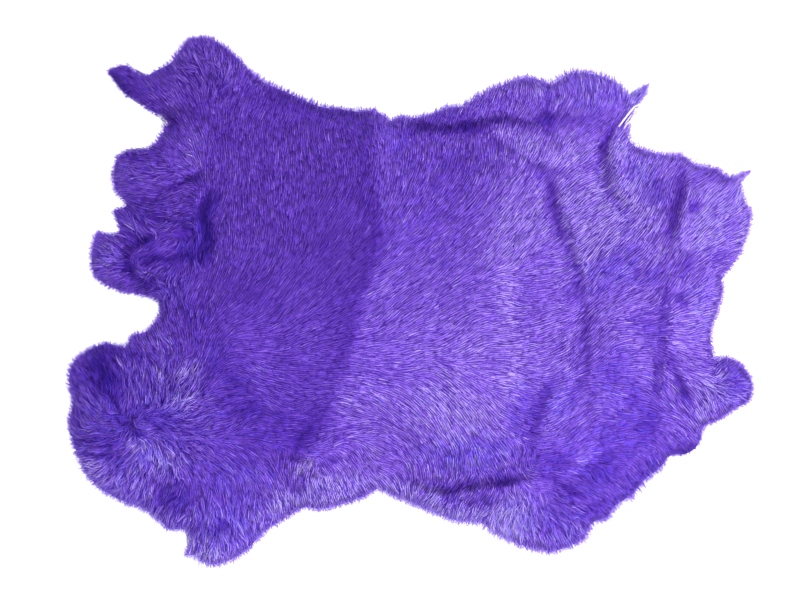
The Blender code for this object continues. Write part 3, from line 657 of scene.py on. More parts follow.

# What the fur is like at places. Columns: place, x and y in mm, radius along and across in mm,
# degrees that its length is turned, change of tone, share of bluer hair, share of pale glints, and
# ruffle, from 0 for combed flat to 1 for standing in loose tufts. The change of tone is partly the
# dye and partly painted: painted shade in hollows, pockets, creases, under lobes and on rims turned
# from the light, and painted light on lit rims, sides and streaks. The glints are painted
# highlights.
PLACES = (
    # The back, and the flank to the right of it.
    # Pale streaks with glints here are painted highlights.
    ("glinting streak", 58, 2, 22, 4, 88, 0.1, 0, 0.18, 0),
    ("beside the fold, upper half", 12, 68, 46, 38, 85, -0.12, 0.1, 0, 0),
    ("below the glinting flank", 72, 6, 10, 18, 0, -0.06, 0, 0, 0),
    ("glinting flank", 66, 44, 28, 20, 60, 0.07, 0, 0.22, 0),
    ("glinting band low on the back", 18, -66, 42, 18, -20, 0.1, 0.1, 0.16, 0),
    ("pale before the dark band", 61, -47, 15, 10, 80, 0.1, 0, 0.12, 0),
    ("soft dark by that band", 64, -63, 18, 8, 75, -0.16, 0.4, 0, 0),
    ("notch at the fold", -9, 95, 10, 8, 90, -0.04, 0.35, 0, 0),
    ("top edge", -56, 115, 60, 7, -14, -0.12, 0, 0, 0),
    ("under side of the front leg", -162, 118, 20, 5, -38, -0.14, 0, 0, 0),
    ("top rim of the rump lobe", -178, -27, 20, 4, -8, -0.22, 0.3, 0, 0.4),
    ("top edge beyond the notch", 30, 112, 26, 8, 14, -0.1, 0.1, 0, 0.1),
    ("dark before the flank crease", 75, 27, 8, 5, 0, -0.09, 0, 0, 0),
    ("dark at its lower end", 94, 6, 8, 4, 70, -0.1, 0.1, 0, 0),
    ("above the bottom crease", 37, -90, 26, 12, 5, -0.05, 0.8, 0, 0.2),
    ("blot under the bottom crease", 21, -115, 5, 6, 0, -0.26, 0.3, 0, 0),
    ("blackest of the bottom crease", 56, -106, 8, 3.5, 3, -0.24, 0.2, 0, 0),
    ("dark below the bottom crease", 41, -117, 12, 4.5, 8, -0.12, 0.3, 0, 0.2),
    ("belly point", 2, -111, 20, 5, -10, 0.18, 0.3, 0.03, 0.2),
    ("behind the flank crease", 117, 18, 19, 11, 25, -0.08, 0.5, 0, 0),
    ("blue low on the flank", 89, -56, 16, 9, 80, 0.02, 0.6, 0, 0),
    ("streaks before the lower right ridge", 112, -55, 12, 4, 95, 0.06, 0, 0.2, 0),
    # The upper right.
    ("dark under the top crease", 46, 95, 7, 4, -40, -0.14, 0, 0, 0),
    ("end of the top crease", 80, 106, 4.5, 7, 0, -0.26, 0.2, 0, 0.1),
    ("blackest of the top crease", 35, 103, 7, 4, 0, -0.2, 0.1, 0, 0),
    ("dark below the top crease", 38, 84, 28, 7, 5, -0.07, 0.1, 0, 0),
    ("pale below the top crease", 69, 93, 9, 8, 0, 0.11, 0, 0.12, 0),
    ("streak on the upper right lobe", 75, 127, 7, 4, 60, 0.12, 0, 0.1, 0.4),
    ("upper right lobe", 102, 123, 26, 12, 0, 0.01, 0.3, 0.05, 0.6),
    # Pale hairs and glints here are painted highlights.
    ("glinting patch", 90, 85, 14, 7, 30, 0.1, 0, 0.14, 0.1),
    ("left of the glinting patch", 55, 101, 5, 4, 0, 0.09, 0, 0.1, 0.1),
    ("dark above the flank crease", 75, 76, 6, 5, 0, -0.12, 0.1, 0, 0),
    ("pale by the torn edge", 122, 90, 9, 5, 80, 0.14, 0.2, 0.12, 0.2),
    ("thin tag of skin", 133, 121, 8, 5, 45, 0.1, 0.6, 0, 0.2),
    ("pale below the torn edge", 123, 65, 11, 8, -60, 0.13, 0.1, 0.08, 0.1),
    ("shaded below the torn edge", 126, 78, 7, 6, 0, -0.12, 0.3, 0, 0.1),
    ("pale behind the crease", 108, 63, 8, 5, 0, 0.12, 0.1, 0.1, 0),
    ("blue beside the torn edge", 133, 77, 10, 8, 40, 0.05, 0.6, 0, 0.2),
    ("dark beside the upper right ridge", 143, 66, 7, 8, 0, -0.13, 0.4, 0, 0.1),
    ("upper right corner", 178, 50, 20, 14, 60, 0.15, 0.2, 0.12, 0.3),
    ("spot on the upper right ridge", 165, 56, 4, 3.5, 30, -0.32, 0.2, 0, 0.2),
    ("dark by the corner", 172, 75, 6, 3, -20, -0.14, 0.2, 0, 0.3),
    ("lit side of the upper right ridge", 172, 48, 18, 4, 75, 0.14, 0.1, 0.06, 0.3),
    ("dark in the upper right corner", 188, 47, 6, 5, 0, -0.1, 0.2, 0, 0.3),
    ("rim below the corner", 195, 40, 16, 5, 80, 0.14, 0.2, 0, 0.4),
    ("between the ridge and the edge", 161, 22, 7, 3.5, 50, -0.16, 0.2, 0, 0.1),
    ("dark streaks of the flank", 122, 28, 12, 4, 40, -0.08, 0.3, 0, 0),
    ("second dark streaks of the flank", 142, 17, 14, 5, 20, -0.1, 0.3, 0, 0),
    ("under the corner wisp", 184, 71, 7, 3, -20, -0.17, 0.2, 0, 0.2),
    ("right shadow", 178, 28, 7, 5, 0, -0.1, 0.2, 0, 0.2),
    ("streak under the upper right ridge", 144, 29, 7, 2.5, 60, 0.1, 0, 0.14, 0),
    ("right pocket", 156, 4, 3.5, 2.5, 0, -0.26, 0.3, 0, 0.1),
    ("right pocket, lower end", 160, 0, 3.5, 2, -60, -0.26, 0.3, 0, 0.1),
    ("beside the right pocket", 165, 5, 5, 4, 0, 0.08, 0.2, 0, 0.1),
    ("left of the lower right ridge", 141, -18, 14, 5, 85, -0.1, 0.2, 0, 0),
    ("right edge", 173, -6, 18, 8, 85, 0.08, 0.3, 0.05, 0.3),
    # The lower right, and single places elsewhere.
    ("spot above the little flap", 140, -71, 10, 5, 80, -0.18, 0.4, 0, 0.2),
    ("spot before the hind foot", 131, -55, 8, 4, 85, -0.14, 0.3, 0, 0.1),
    ("pale on the flank", 119, 45, 26, 15, 40, 0.06, 0, 0.05, 0),
    ("beside the torn-edge crease", 128, 42, 17, 6, -63, -0.08, 0.2, 0, 0),
    ("upper right quarter", 102, 92, 38, 26, 0, 0.035, 0, 0, 0),
    ("right of the small ridge", 108, -47, 17, 5, 85, -0.09, 0.2, 0, 0),
    ("beside the shade line", -12, 40, 14, 6, 82, -0.08, 0, 0, 0),
    ("above the bottom crease, right end", 82, -87, 13, 7, -20, -0.07, 0.2, 0, 0),
    ("lower edge, by the left lobe", -62, -109, 11, 5, 10, -0.07, 0.2, 0, 0),
    ("below the upper left flap", -150, 52, 8, 5, -20, -0.08, 0.2, 0, 0.2),
    ("upper right rim", 192, 66, 9, 5, -60, 0.13, 0.3, 0, 0.3),
    ("below the pale streaks", 41, -83, 8, 6, 0, -0.1, 0.2, 0, 0),
    ("between the flaps and the rump", -118, -26, 14, 10, -40, -0.06, 0.2, 0, 0),
    ("lower edge, left of the crease", 18, -109, 9, 5, 0, 0.09, 0.2, 0, 0.1),
    ("above the lower crease", -50, -95, 10, 8, 90, -0.09, 0.2, 0, 0),
    ("below the top crease", 55, 88, 15, 5, -22, 0.09, 0, 0.06, 0),
    ("right rim above the tag", 174, 3, 5, 6, 0, -0.06, 0.2, 0, 0),
    ("top of the rump lobe", -168, -33, 8, 4, 20, 0.1, 0.2, 0, 0.4),
    ("before the hind foot", 128, -66, 26, 16, 90, -0.04, 0.4, 0.03, 0.2),
    ("pocket by the hind foot", 159, -55, 7, 4, -55, -0.12, 0.3, 0, 0.2),
    ("rim of the little flap", 163, -87, 9, 3, 12, -0.3, 0.3, 0, 0.2),
    ("root of the hind foot", 172, -56, 16, 6, 75, 0.16, 0.3, 0.05, 0.4),
    ("second dark on the lower flank", 119, -40, 15, 8, 75, -0.14, 0.3, 0, 0),
    ("third dark on the lower flank", 134, -13, 7, 6, 0, -0.09, 0.3, 0, 0),
    ("middle of the back", 3, -45, 14, 6, 0, -0.08, 0, 0, 0),
    ("right of the fold, lower half", -14, -46, 62, 20, 112, -0.075, 0, 0, 0),
    ("right of the lower fold", -40, -78, 20, 9, 118, -0.09, 0, 0, 0),
    ("pale on the back", 36, -27, 10, 6, 20, 0.07, 0, 0.05, 0),
    ("left of the lower fold", -76, -74, 24, 14, 10, -0.1, 0.2, 0, 0.1),
    ("end of the shade line", -65, -82, 10, 5, 60, -0.14, 0.1, 0, 0.1),
    ("left of the fold", -50, 34, 30, 14, 90, -0.05, 0, 0, 0),
    ("left of the fold, lower half", -70, -42, 14, 10, 0, -0.06, 0, 0, 0),
    ("lower right side", 118, -84, 36, 18, 25, -0.14, 0.4, 0, 0.1),
    ("lower right rim", 133, -107, 42, 8, 40, -0.14, 0.4, 0, 0.3),
    ("hind foot lobe", 188, -50, 16, 15, 0, -0.05, 0.4, 0.04, 0.6),
    ("top of the hind foot lobe", 182, -36, 8, 5, 0, -0.12, 0.3, 0, 0.3),
    ("dark of the hind foot lobe", 190, -46, 7, 6, 0, -0.16, 0.3, 0, 0.5),
    ("streak by the lower right edge", 100, -93, 12, 5, 55, 0.2, 0.2, 0.12, 0.1),
    ("lower right edge", 109, -102, 16, 11, 50, -0.14, 0.6, 0, 0.4),
    ("shadow over the lower right lobe", 84, -94, 20, 7, -10, -0.14, 0.3, 0, 0.1),
    ("dark of the lower right lobe", 88, -118, 14, 9, 80, -0.14, 0.3, 0, 0.5),
    ("spot on the lower right lobe", 97, -114, 6, 3, -20, -0.14, 0.3, 0, 0.4),
    ("notch of the lower right lobe", 104, -123, 11, 5, 20, -0.18, 0.3, 0, 0.5),
    ("lower right lobe", 64, -128, 30, 14, 0, 0.04, 0.6, 0.04, 0.8),
    ("fan of the lower right lobe", 54, -131, 17, 9, 65, 0.27, 0.6, 0.05, 0.8),
    ("dark beside that fan", 82, -129, 8, 6, 0, -0.1, 0.4, 0, 0.8),
    ("end of the lower right lobe", 92, -132, 18, 12, 30, 0, 0.4, 0.06, 0.8),
    # The shoulder and the front leg.
    ("tip of the front leg", -174, 130, 11, 4, -50, -0.22, 0.1, 0, 0.1),
    ("front leg", -158, 126, 16, 7, -30, -0.05, 0.1, 0, 0.2),
    ("shoulder lobe", -122, 138, 28, 18, -20, 0, 0, 0.03, 0.7),
    ("shadow under the shoulder lobe", -127, 117, 8, 5, 0, -0.1, 0, 0, 0.3),
    ("armpit", -142, 105, 5, 5, 0, -0.16, 0, 0, 0.2),
    ("streaks of the shoulder", -104, 130, 10, 4, -55, 0.1, 0, 0.08, 0.4),
    ("dark between those streaks", -113, 127, 7, 3, -50, -0.1, 0, 0, 0.3),
    ("streak by the top edge", -86, 126, 6, 3, 70, 0.1, 0, 0.08, 0.2),
    ("streaks of the front leg", -139, 120, 8, 4, 60, 0.09, 0, 0.06, 0.4),
    ("fan of the upper left whorl", -130, 88, 15, 9, 65, 0.1, 0.1, 0.08, 0.3),
    ("behind that fan", -107, 98, 8, 7, 0, -0.06, 0, 0, 0),
    # The flaps.
    ("upper left whorl", -127, 74, 4, 3, 0, -0.12, 0.3, 0, 0.4),
    ("upper left flap", -156, 74, 20, 15, 0, 0.02, 0.1, 0.03, 0.6),
    ("upper rim of the upper left flap", -163, 86, 14, 4, 3, -0.14, 0.1, 0, 0.3),
    ("small flap", -155, 47, 20, 8, 0, 0, 0.3, 0.03, 0.9),
    ("hollow behind the flaps", -126, 38, 15, 10, 90, -0.18, 0.7, 0, 0.8),
    ("its upper end", -115, 56, 9, 5, 70, -0.1, 0.3, 0, 0.2),
    ("under the small flap", -157, 36, 10, 4, -5, -0.22, 0.4, 0, 0.7),
    ("lower left flap", -178, 27, 15, 9, 85, 0.08, 0.3, 0.04, 0.9),
    ("pit of the lower left flap", -165, 20, 5, 5, 0, -0.24, 0.4, 0, 0.8),
    ("streak of the lower left flap", -153, 18, 11, 3, 5, 0.06, 0.2, 0.04, 0.9),
    ("dark of the lower left flap", -152, 24, 10, 6, 0, -0.12, 0.3, 0, 0.8),
    ("by the left bay", -147, -21, 9, 7, 30, 0.12, 0.3, 0.03, 0.7),
    ("second pit of that flap", -155, 10.5, 7, 3, -10, -0.24, 0.4, 0, 0.8),
    ("root of the flaps", -140, 10, 12, 12, 0, -0.06, 0.4, 0.03, 0.9),
    ("above the left bay", -125, -6, 9, 7, 0, -0.06, 0.3, 0, 0.5),
    ("dark on the left side", -94, 6, 20, 18, 0, -0.075, 0, 0, 0),
    ("middle of the back, upper part", 15, 15, 40, 34, 0, -0.03, 0, 0, 0),
    # The rump.
    ("rump lobe", -160, -70, 48, 44, 0, 0, 0.5, 0.03, 1),
    ("top of the rump lobe", -184, -35, 8, 6, 0, -0.26, 0.6, 0, 0.4),
    ("dark of the rump lobe", -177, -46, 10, 9, -40, -0.32, 0.7, 0, 0.5),
    ("left rim of the rump lobe", -188, -80, 13, 4, 0, -0.12, 0.3, 0, 0.5),
    ("rump whorl", -158, -77.5, 4, 3, -20, -0.3, 0.4, 0, 0.8),
    ("streaks above the rump", -147, -41, 6, 4, 30, 0.1, 0.2, 0.1, 0.9),
    ("second streaks above the rump", -134, -41, 6, 4, 50, 0.12, 0.2, 0.08, 0.9),
    ("band across the rump", -156, -65, 18, 5, 0, -0.14, 0.4, 0, 0.9),
    ("third streaks above the rump", -125, -37, 6, 4, 50, 0.15, 0.2, 0.12, 0.7),
    ("dark behind those streaks", -114, -39, 8, 6, 60, -0.1, 0.2, 0, 0.3),
    ("fan of the rump whorl", -131, -57, 12, 7, 50, 0.14, 0.3, 0.1, 0.9),
    ("dark in that fan", -152, -47, 5, 3, 80, -0.12, 0.4, 0, 0.9),
    ("left of the rump whorl", -171, -81, 8, 6, 70, -0.14, 0.4, 0, 0.9),
    ("dark under that fan", -138, -68, 7, 3, -20, -0.12, 0.3, 0, 0.9),
    ("below the rump whorl", -161, -84, 8, 5, -10, 0.2, 0.4, 0.03, 0.9),
    ("pale of the rump lobe", -150, -93, 20, 12, -10, 0.17, 0.6, 0.03, 1),
    ("lower rim", -152, -125, 46, 7, -32, 0.15, 0.5, 0, 0.9),
    ("left lower rim", -186, -98, 14, 6, -40, 0.2, 0.4, 0, 0.8),
    ("pale curl", -182, -94, 11, 2.5, -5, 0.12, 0.2, 0, 0.5),
    ("lower rim of the rump lobe", -160, -108, 15, 5, -25, 0.15, 0.5, 0.04, 0.9),
    ("dark under the rump", -140, -115, 12, 8, 20, -0.14, 0.7, 0, 0.8),
    ("pale behind the rump", -104, -102, 24, 13, 0, 0.03, 0.5, 0.03, 0.4),
    ("band behind the rump", -100, -48, 16, 12, 75, -0.13, 0.2, 0, 0.3),
    ("pale on the left side", -90, -41, 10, 7, 20, 0.11, 0.1, 0.06, 0.1),
    ("dark by the small whorl", -91, -62, 9, 6, 10, -0.12, 0.4, 0, 0.2),
    ("small whorl", -81, -60, 4, 4, 0, 0.14, 0, 0.12, 0.2),
    # The lower left.
    ("lower left lobe", -108, -130, 30, 18, 10, 0.06, 0.7, 0.04, 0.8),
    ("pocket by the lower left edge", -110, -132, 7, 3, 15, -0.36, 0.4, 0, 0.5),
    ("tail notch", -126, -136, 5, 5, 0, -0.1, 0.3, 0, 0.5),
    ("lower left edge", -76, -120, 18, 6, 28, 0.21, 0.4, 0.02, 0.6),
    ("rim of the lower left lobe", -119, -148, 20, 6, -8, 0.2, 0.5, 0.04, 0.7),
    ("pale tuft", -63, -97, 9, 3.5, 45, 0.3, 0, 0.3, 0.3),
    ("belly edge", -48, -110, 24, 10, 0, 0.15, 0.4, 0.02, 0.3),
    ("lower rim of the belly", 34, -126, 40, 6, -12, 0.15, 0.4, 0, 0.5),
    ("dark beside the belly edge", -66, -110, 9, 6, 80, -0.12, 0.3, 0, 0.3),
)

# Where the hair looks smoother, because its pale and dark hairs, painted highlights and painted
# shade, differ less, or below zero more streaked. Columns: place, x and y in mm, radius in mm,
# share of the difference that is lost.
SMOOTH_PLACES = (
    ("lower right", 118, -90, 42, 0.45),
    ("lower right lobe", 68, -128, 26, 0.45),
    ("right part", 176, 30, 50, 0.1),
    ("upper right lobe", 98, 120, 28, 0.5),
    ("flank", 119, 42, 30, -0.35),
    ("neck", -62, 100, 60, 0.06),
    ("upper left flap", -155, 74, 20, 0.25),
    ("above the rump", -132, -46, 17, -0.3),
    ("rump lobe, lower part", -170, -96, 30, 0.3),
    ("lower left lobe", -106, -124, 30, 0.45),
)

# The lie of the hair: the way that it points at places on the skin. Columns: part of the skin,
# and rows of x and y in mm with the way in degrees, 0 to the right and 90 to the top edge.
LIE = (
    ("front leg", (
        (-172, 131, 155), (-165, 132, 150), (-160, 127, 140), (-150, 128, 128), (-155, 115, 150),
        (-145, 113, 145))),
    ("shoulder lobe", (
        (-140, 120, 130), (-130, 119, 125), (-135, 145, 125), (-130, 139, 130), (-122, 148, 110),
        (-115, 150, 100), (-118, 140, 115), (-110, 135, 108), (-102, 132, 80), (-95, 130, 68),
        (-105, 122, 60), (-120, 110, 108), (-110, 112, 86))),
    ("neck", (
        (-90, 112, 65), (-100, 107, 80), (-70, 108, 66), (-50, 108, 74), (-65, 100, 90),
        (-90, 85, 97), (-70, 80, 90), (-52, 90, 103), (-40, 95, 103), (-27, 97, 115),
        (-20, 100, 86), (-12, 78, 82), (-100, 88, 94))),
    ("upper left flap", (
        (-140, 104, 125), (-145, 95, 142), (-132, 98, 122), (-150, 85, 156), (-135, 86, 137),
        (-160, 79, 170), (-148, 76, 180), (-165, 70, 184), (-150, 66, 198), (-140, 65, 210),
        (-120, 91, 95), (-114, 80, 86))),
    ("small flap", (
        (-166, 50, 150), (-160, 46, 135), (-150, 52, 175), (-138, 46, 210))),
    ("lower left flap", (
        (-180, 35, 165), (-175, 30, 160), (-182, 22, 180), (-175, 15, 195), (-172, 9, 207),
        (-158, 6, 205), (-150, 22, 28), (-140, 31, 30), (-130, 26, 95))),
    ("behind the flaps", (
        (-120, 20, 74), (-122, 8, 63), (-110, 33, 88), (-105, 42, 90), (-112, 53, 58),
        (-100, 58, 94), (-90, 50, 92), (-104, 62, 82), (-100, 20, 64), (-103, 8, 58),
        (-90, 2, 45), (-100, -6, 28), (-94, -12, 14))),
    ("left bay", (
        (-130, -10, 108), (-137, -12, 120), (-145, -22, 132), (-120, -6, 86), (-112, -12, 45),
        (-155, -22, 112), (-150, -29, 130), (-128, -20, 98), (-118, -23, 70))),
    ("left of the back", (
        (-70, 60, 88), (-60, 40, 80), (-48, 50, 62), (-85, 30, 82), (-85, 22, 66),
        (-75, 12, 52), (-60, 15, 50), (-45, 25, 50), (-33, 45, 58), (-60, 0, 45),
        (-72, -6, 42), (-50, -10, 26), (-62, -20, 28), (-77, -20, 12), (-92, -25, 0),
        (-76, -32, -3), (-90, -40, -25), (-70, -50, -15), (-90, -50, -28), (-55, -40, -4))),
    ("rump lobe, upper part", (
        (-190, -38, 132), (-178, -40, 115), (-166, -32, 110), (-185, -50, 122), (-194, -62, 128),
        (-186, -64, 130), (-168, -54, 62), (-160, -44, 96), (-150, -45, 108), (-150, -56, 96),
        (-142, -42, 98), (-134, -38, 85), (-132, -50, 60), (-122, -45, 55), (-128, -34, 62))),
    ("rump lobe, lower part", (
        (-180, -73, 178), (-184, -82, 185), (-180, -88, 176), (-183, -96, 195), (-175, -105, 220),
        (-165, -86, 222), (-170, -96, 228), (-162, -98, 254), (-164, -110, 242), (-154, -104, 266),
        (-146, -92, 288), (-150, -88, 270), (-146, -110, 262), (-136, -91, 310), (-130, -97, 314),
        (-140, -82, 318), (-136, -114, 252), (-148, -70, 352), (-135, -72, 4))),
    ("right of the rump whorl", (
        (-125, -60, 33), (-132, -63, 42), (-122, -67, 14), (-112, -62, 14), (-112, -72, 4),
        (-118, -82, 346), (-114, -88, 330), (-104, -52, 2), (-98, -70, 36), (-90, -60, 38),
        (-80, -60, 330), (-92, -78, 0), (-80, -80, 357))),
    ("lower left edge", (
        (-124, -102, 298), (-124, -112, 268), (-108, -96, 328), (-110, -108, 276), (-98, -106, 274),
        (-94, -96, 312), (-85, -95, 302), (-90, -88, 322), (-92, -112, 276), (-80, -106, 298),
        (-88, -128, 292), (-97, -130, 288), (-104, -138, 290), (-100, -120, 268),
        (-112, -140, 276), (-122, -140, 262), (-136, -128, 250))),
    ("belly dip", (
        (-72, -95, 250), (-62, -97, 238), (-74, -104, 298), (-64, -108, 276), (-76, -116, 298),
        (-58, -84, 20), (-68, -72, 352), (-60, -62, 28), (-50, -72, 6), (-46, -80, 42))),
    ("belly edge", (
        (-48, -105, 290), (-50, -115, 285), (-38, -108, 296), (-44, -94, 318), (-30, -104, 302),
        (-28, -87, 302), (-36, -78, 6), (-24, -76, 18), (-12, -96, 350), (-8, -104, 300),
        (-14, -105, 320), (-2, -110, 270), (8, -112, 232), (14, -118, 236))),
    ("middle of the back, upper part", (
        (5, 92, 84), (6, 78, 68), (12, 62, 56), (20, 50, 52), (-10, 50, 52), (0, 38, 40),
        (-16, 66, 76), (30, 45, 46), (-20, 30, 40), (20, 25, 44), (-10, 14, 30), (10, 6, 34),
        (22, 4, 33))),
    ("middle of the back, lower part", (
        (-12, -10, 38), (2, -16, 28), (22, -8, 40), (30, -13, 40), (10, -20, 10), (26, -22, 24),
        (-28, -20, 10), (-16, -30, 2), (6, -37, 20), (-30, -41, -5), (-12, -46, -8),
        (-22, -57, -27), (-4, -56, -30), (12, -50, -30), (22, -46, -34))),
    ("before the belly edge", (
        (-32, -64, -20), (-12, -68, -34), (0, -62, -44), (10, -64, -50), (8, -76, -50),
        (18, -74, -56), (6, -86, -46), (-14, -86, -32), (16, -94, -75), (14, -104, -85))),
    ("right of the back, upper part", (
        (40, 90, 90), (52, 86, 90), (42, 74, 72), (36, 64, 56), (58, 72, 55), (66, 60, 54),
        (75, 55, 52), (70, 38, 46), (55, 36, 50), (40, 40, 46), (62, 28, 52), (42, 24, 50),
        (48, 12, 26), (34, 14, 32), (56, 12, 2), (74, 16, 8), (84, 22, 14))),
    ("right of the back, lower part", (
        (58, 4, -20), (46, -3, 6), (34, -12, 36), (50, -16, 2), (34, -24, 28), (60, -24, 5),
        (72, -24, 8), (42, -36, -2), (62, -38, -16), (50, -46, -10), (32, -46, -32),
        (84, -6, 15), (90, -16, 30), (88, -32, 30), (94, -30, 46))),
    ("lower right of the back", (
        (36, -54, -36), (46, -58, -38), (28, -64, -50), (34, -72, -55), (46, -68, -50),
        (56, -64, -25), (70, -54, -12), (68, -68, -18), (22, -82, -62), (44, -78, -52),
        (58, -78, -30), (72, -78, -5), (84, -68, 36), (92, -74, 42), (94, -62, 42),
        (92, -50, 22), (104, -58, 32), (106, -70, 26), (82, -82, 12), (92, -88, 14))),
    ("above the bottom crease", (
        (28, -90, -96), (38, -90, -88), (48, -88, -48), (56, -90, -58), (66, -90, -110),
        (46, -98, -55), (26, -100, -92), (78, -92, 22), (100, -88, 38), (100, -96, -25),
        (12, -98, -75))),
    ("lower right lobe", (
        (76, -106, 10), (88, -104, -14), (98, -108, -30), (96, -116, -30), (86, -114, -22),
        (110, -110, -30), (106, -121, -40), (116, -115, -44), (90, -126, -42), (98, -134, -50),
        (84, -136, -66), (78, -142, -80), (70, -134, -70), (76, -124, -60), (65, -124, -76),
        (60, -131, -90), (66, -114, -45), (60, -116, -98), (52, -122, -106), (48, -130, -100),
        (50, -114, -118), (42, -122, -117), (34, -116, -126), (27, -122, -108), (30, -109, -145),
        (18, -112, -138))),
    ("top edge, right half", (
        (20, 106, 62), (34, 112, 64), (50, 121, 66), (62, 125, 72), (72, 125, 108),
        (68, 111, 60), (50, 106, 70), (70, 97, 60), (60, 92, 76), (76, 94, 60))),
    ("upper right lobe", (
        (85, 120, 88), (92, 128, 98), (92, 116, 56), (102, 128, 98), (106, 120, 94),
        (114, 119, 82), (121, 121, 98), (118, 129, 100), (98, 103, 44), (106, 105, 38),
        (116, 108, 44), (121, 108, 76), (134, 121, 40))),
    ("by the torn edge", (
        (86, 92, 76), (91, 95, 48), (100, 90, 48), (106, 88, 34), (120, 90, 60), (126, 92, 50),
        (90, 80, 44), (96, 78, 30), (104, 74, 20), (95, 67, 42), (110, 66, 22), (118, 75, 60),
        (126, 82, 66))),
    ("flank", (
        (90, 62, 50), (95, 52, 42), (106, 55, 32), (116, 50, 32), (126, 51, 36), (124, 66, 55),
        (90, 34, 38), (96, 20, 45), (108, 44, 48), (106, 28, 48), (118, 38, 45), (126, 24, 43),
        (106, 8, 46), (126, 9, 34), (118, 0, 32), (132, 1, 24), (132, 15, 34), (136, 56, 54))),
    ("flank, lower part", (
        (106, -14, 52), (114, -21, 45), (110, -28, 43), (122, -14, 2), (126, -30, 10),
        (136, -6, 6), (136, -22, 0), (130, -38, 4), (118, -46, -2), (110, -50, -14),
        (120, -58, -22), (128, -60, -6), (126, -72, 4), (116, -66, -32), (122, -82, 4),
        (126, -94, -12), (134, -80, 14), (112, -78, 14))),
    ("upper right edge", (
        (145, 84, 56), (154, 81, 60), (136, 84, 66), (134, 66, 60), (165, 80, 50), (166, 72, 28),
        (175, 69, 50), (185, 70, 50), (191, 67, 72), (193, 73, 40), (182, 60, 32))),
    ("right part", (
        (150, 66, 75), (150, 54, 75), (142, 46, 58), (161, 61, 78), (166, 52, 48), (174, 58, 45),
        (166, 40, 40), (176, 48, 38), (176, 34, 30), (186, 48, 14), (188, 36, 20), (190, 26, 28),
        (180, 28, 12), (168, 24, 40), (156, 28, 60), (146, 32, 62), (148, 18, 52),
        (158, 15, 62), (168, 12, 45))),
    ("right part, lower half", (
        (166, 4, 38), (176, 4, 12), (148, 4, 52), (150, -6, 24), (162, -10, 6), (156, -18, -4),
        (170, -16, 12), (166, -27, -8), (150, -31, -28), (146, -44, -40), (154, -41, -24),
        (164, -41, -12), (166, -50, -42), (150, -54, -54), (158, -58, -58), (142, -58, -30))),
    ("hind foot lobe", (
        (172, -32, -12), (182, -40, 52), (190, -41, 46), (191, -50, 0), (196, -55, -26),
        (176, -56, -58), (182, -63, -58), (171, -64, -72), (166, -62, -66))),
    ("little flap", (
        (153, -68, -15), (160, -72, -38), (166, -77, -58), (152, -78, -40), (161, -85, -42),
        (148, -88, -46), (140, -94, -55), (136, -86, -20), (142, -70, -12), (134, -98, -50),
        (124, -106, -46))),
)
LIE_SPREAD_MM = 5.0
# The hair turns a little to and fro. Columns: width of a turn in mm, and turn in degrees.
TURNS = (
    (22, 14),
    (8, 12),
    (4, 8),
)


def noise_field(points, width, layer):
    """Smooth noise from about -1 to 1, with swells of the given width in mm."""
    found = [noise.noise((x / width, y / width, layer + 0.5)) for x, y in points]
    return NOISE_GAIN * np.array(found)


def between(pair, share):
    """From the first to the second of a pair of sizes, by share."""
    return pair[0] + (pair[1] - pair[0]) * share


def place_fields(points):
    """The tone, with painted shade and light, the shares of bluer hair and glints, and the ruffle.
    """
    edge = spline_through(SHADE_LINE, False, FIELD_CELL_MM)
    distance, place, side = nearest(points, edge, False)
    width = np.interp(place, *zip(*SHADE_WIDTHS))
    shaded = smooth_step(0.5 - side * distance / width)
    tone = LIT_TONE + (SHADED_TONE - LIT_TONE) * shaded + fold_painted_light_field
    blue = np.zeros(len(points))
    glints = np.zeros(len(points))
    ruffle = np.zeros(len(points))
    for place, x, y, long, wide, turn, change, bluer, glinting, loose in PLACES:
        cosine = math.cos(math.radians(turn))
        sine = math.sin(math.radians(turn))
        along = (points[:, 0] - x) * cosine + (points[:, 1] - y) * sine
        across = (points[:, 1] - y) * cosine - (points[:, 0] - x) * sine
        share = np.exp(-((along / long) ** 2 + (across / wide) ** 2) ** PLACE_EDGE)
        tone += change * share
        blue = np.maximum(blue, bluer * share)
        glints = np.maximum(glints, glinting * share)
        ruffle = np.maximum(ruffle, loose * share)
    tone += RUFFLED_TONE * ruffle
    return np.clip(tone, 0.0, 1.0), blue, glints, ruffle


def smooth_field_at(points):
    """The share of the difference between pale and dark hairs that is lost at each place."""
    lost = np.zeros(len(points))
    for place, x, y, radius, share in SMOOTH_PLACES:
        away = np.hypot(points[:, 0] - x, points[:, 1] - y) / radius
        lost += share * np.exp(-away ** 3)
    return np.clip(lost, *SMOOTH_LIMITS)


def lie_field(points):
    """Unit vectors along the lie of the hair, from the rows of LIE nearest to each place."""
    lie = np.array([row for part, rows in LIE for row in rows], float)
    ways = np.radians(lie[:, 2])
    unit = np.stack([np.cos(ways), np.sin(ways)], axis=1)
    found = []
    for block in np.array_split(points, 40):
        gap = ((block[:, None, :] - lie[None, :, :2]) ** 2).sum(2)
        found.append((1.0 / (gap + LIE_SPREAD_MM ** 2) ** 2) @ unit)
    way = np.concatenate(found)
    way /= np.linalg.norm(way, axis=1)[:, None] + 1e-9
    turn = np.zeros(len(points))
    for layer, (width, degrees) in enumerate(TURNS):
        turn += math.radians(degrees) * noise_field(points, width, TURN_LAYER + layer)
    turn *= between(TURN_SHARES, ruffle_field)
    return np.stack([way[:, 0] * np.cos(turn) - way[:, 1] * np.sin(turn),
                     way[:, 0] * np.sin(turn) + way[:, 1] * np.cos(turn)], axis=1)


def swell_field(points):
    rise = np.zeros(len(points))
    for place, x, y, radius_x, radius_y, height in SWELLS:
        away = ((points[:, 0] - x) / radius_x) ** 2 + ((points[:, 1] - y) / radius_y) ** 2
        rise += height * np.exp(-away)
    return rise


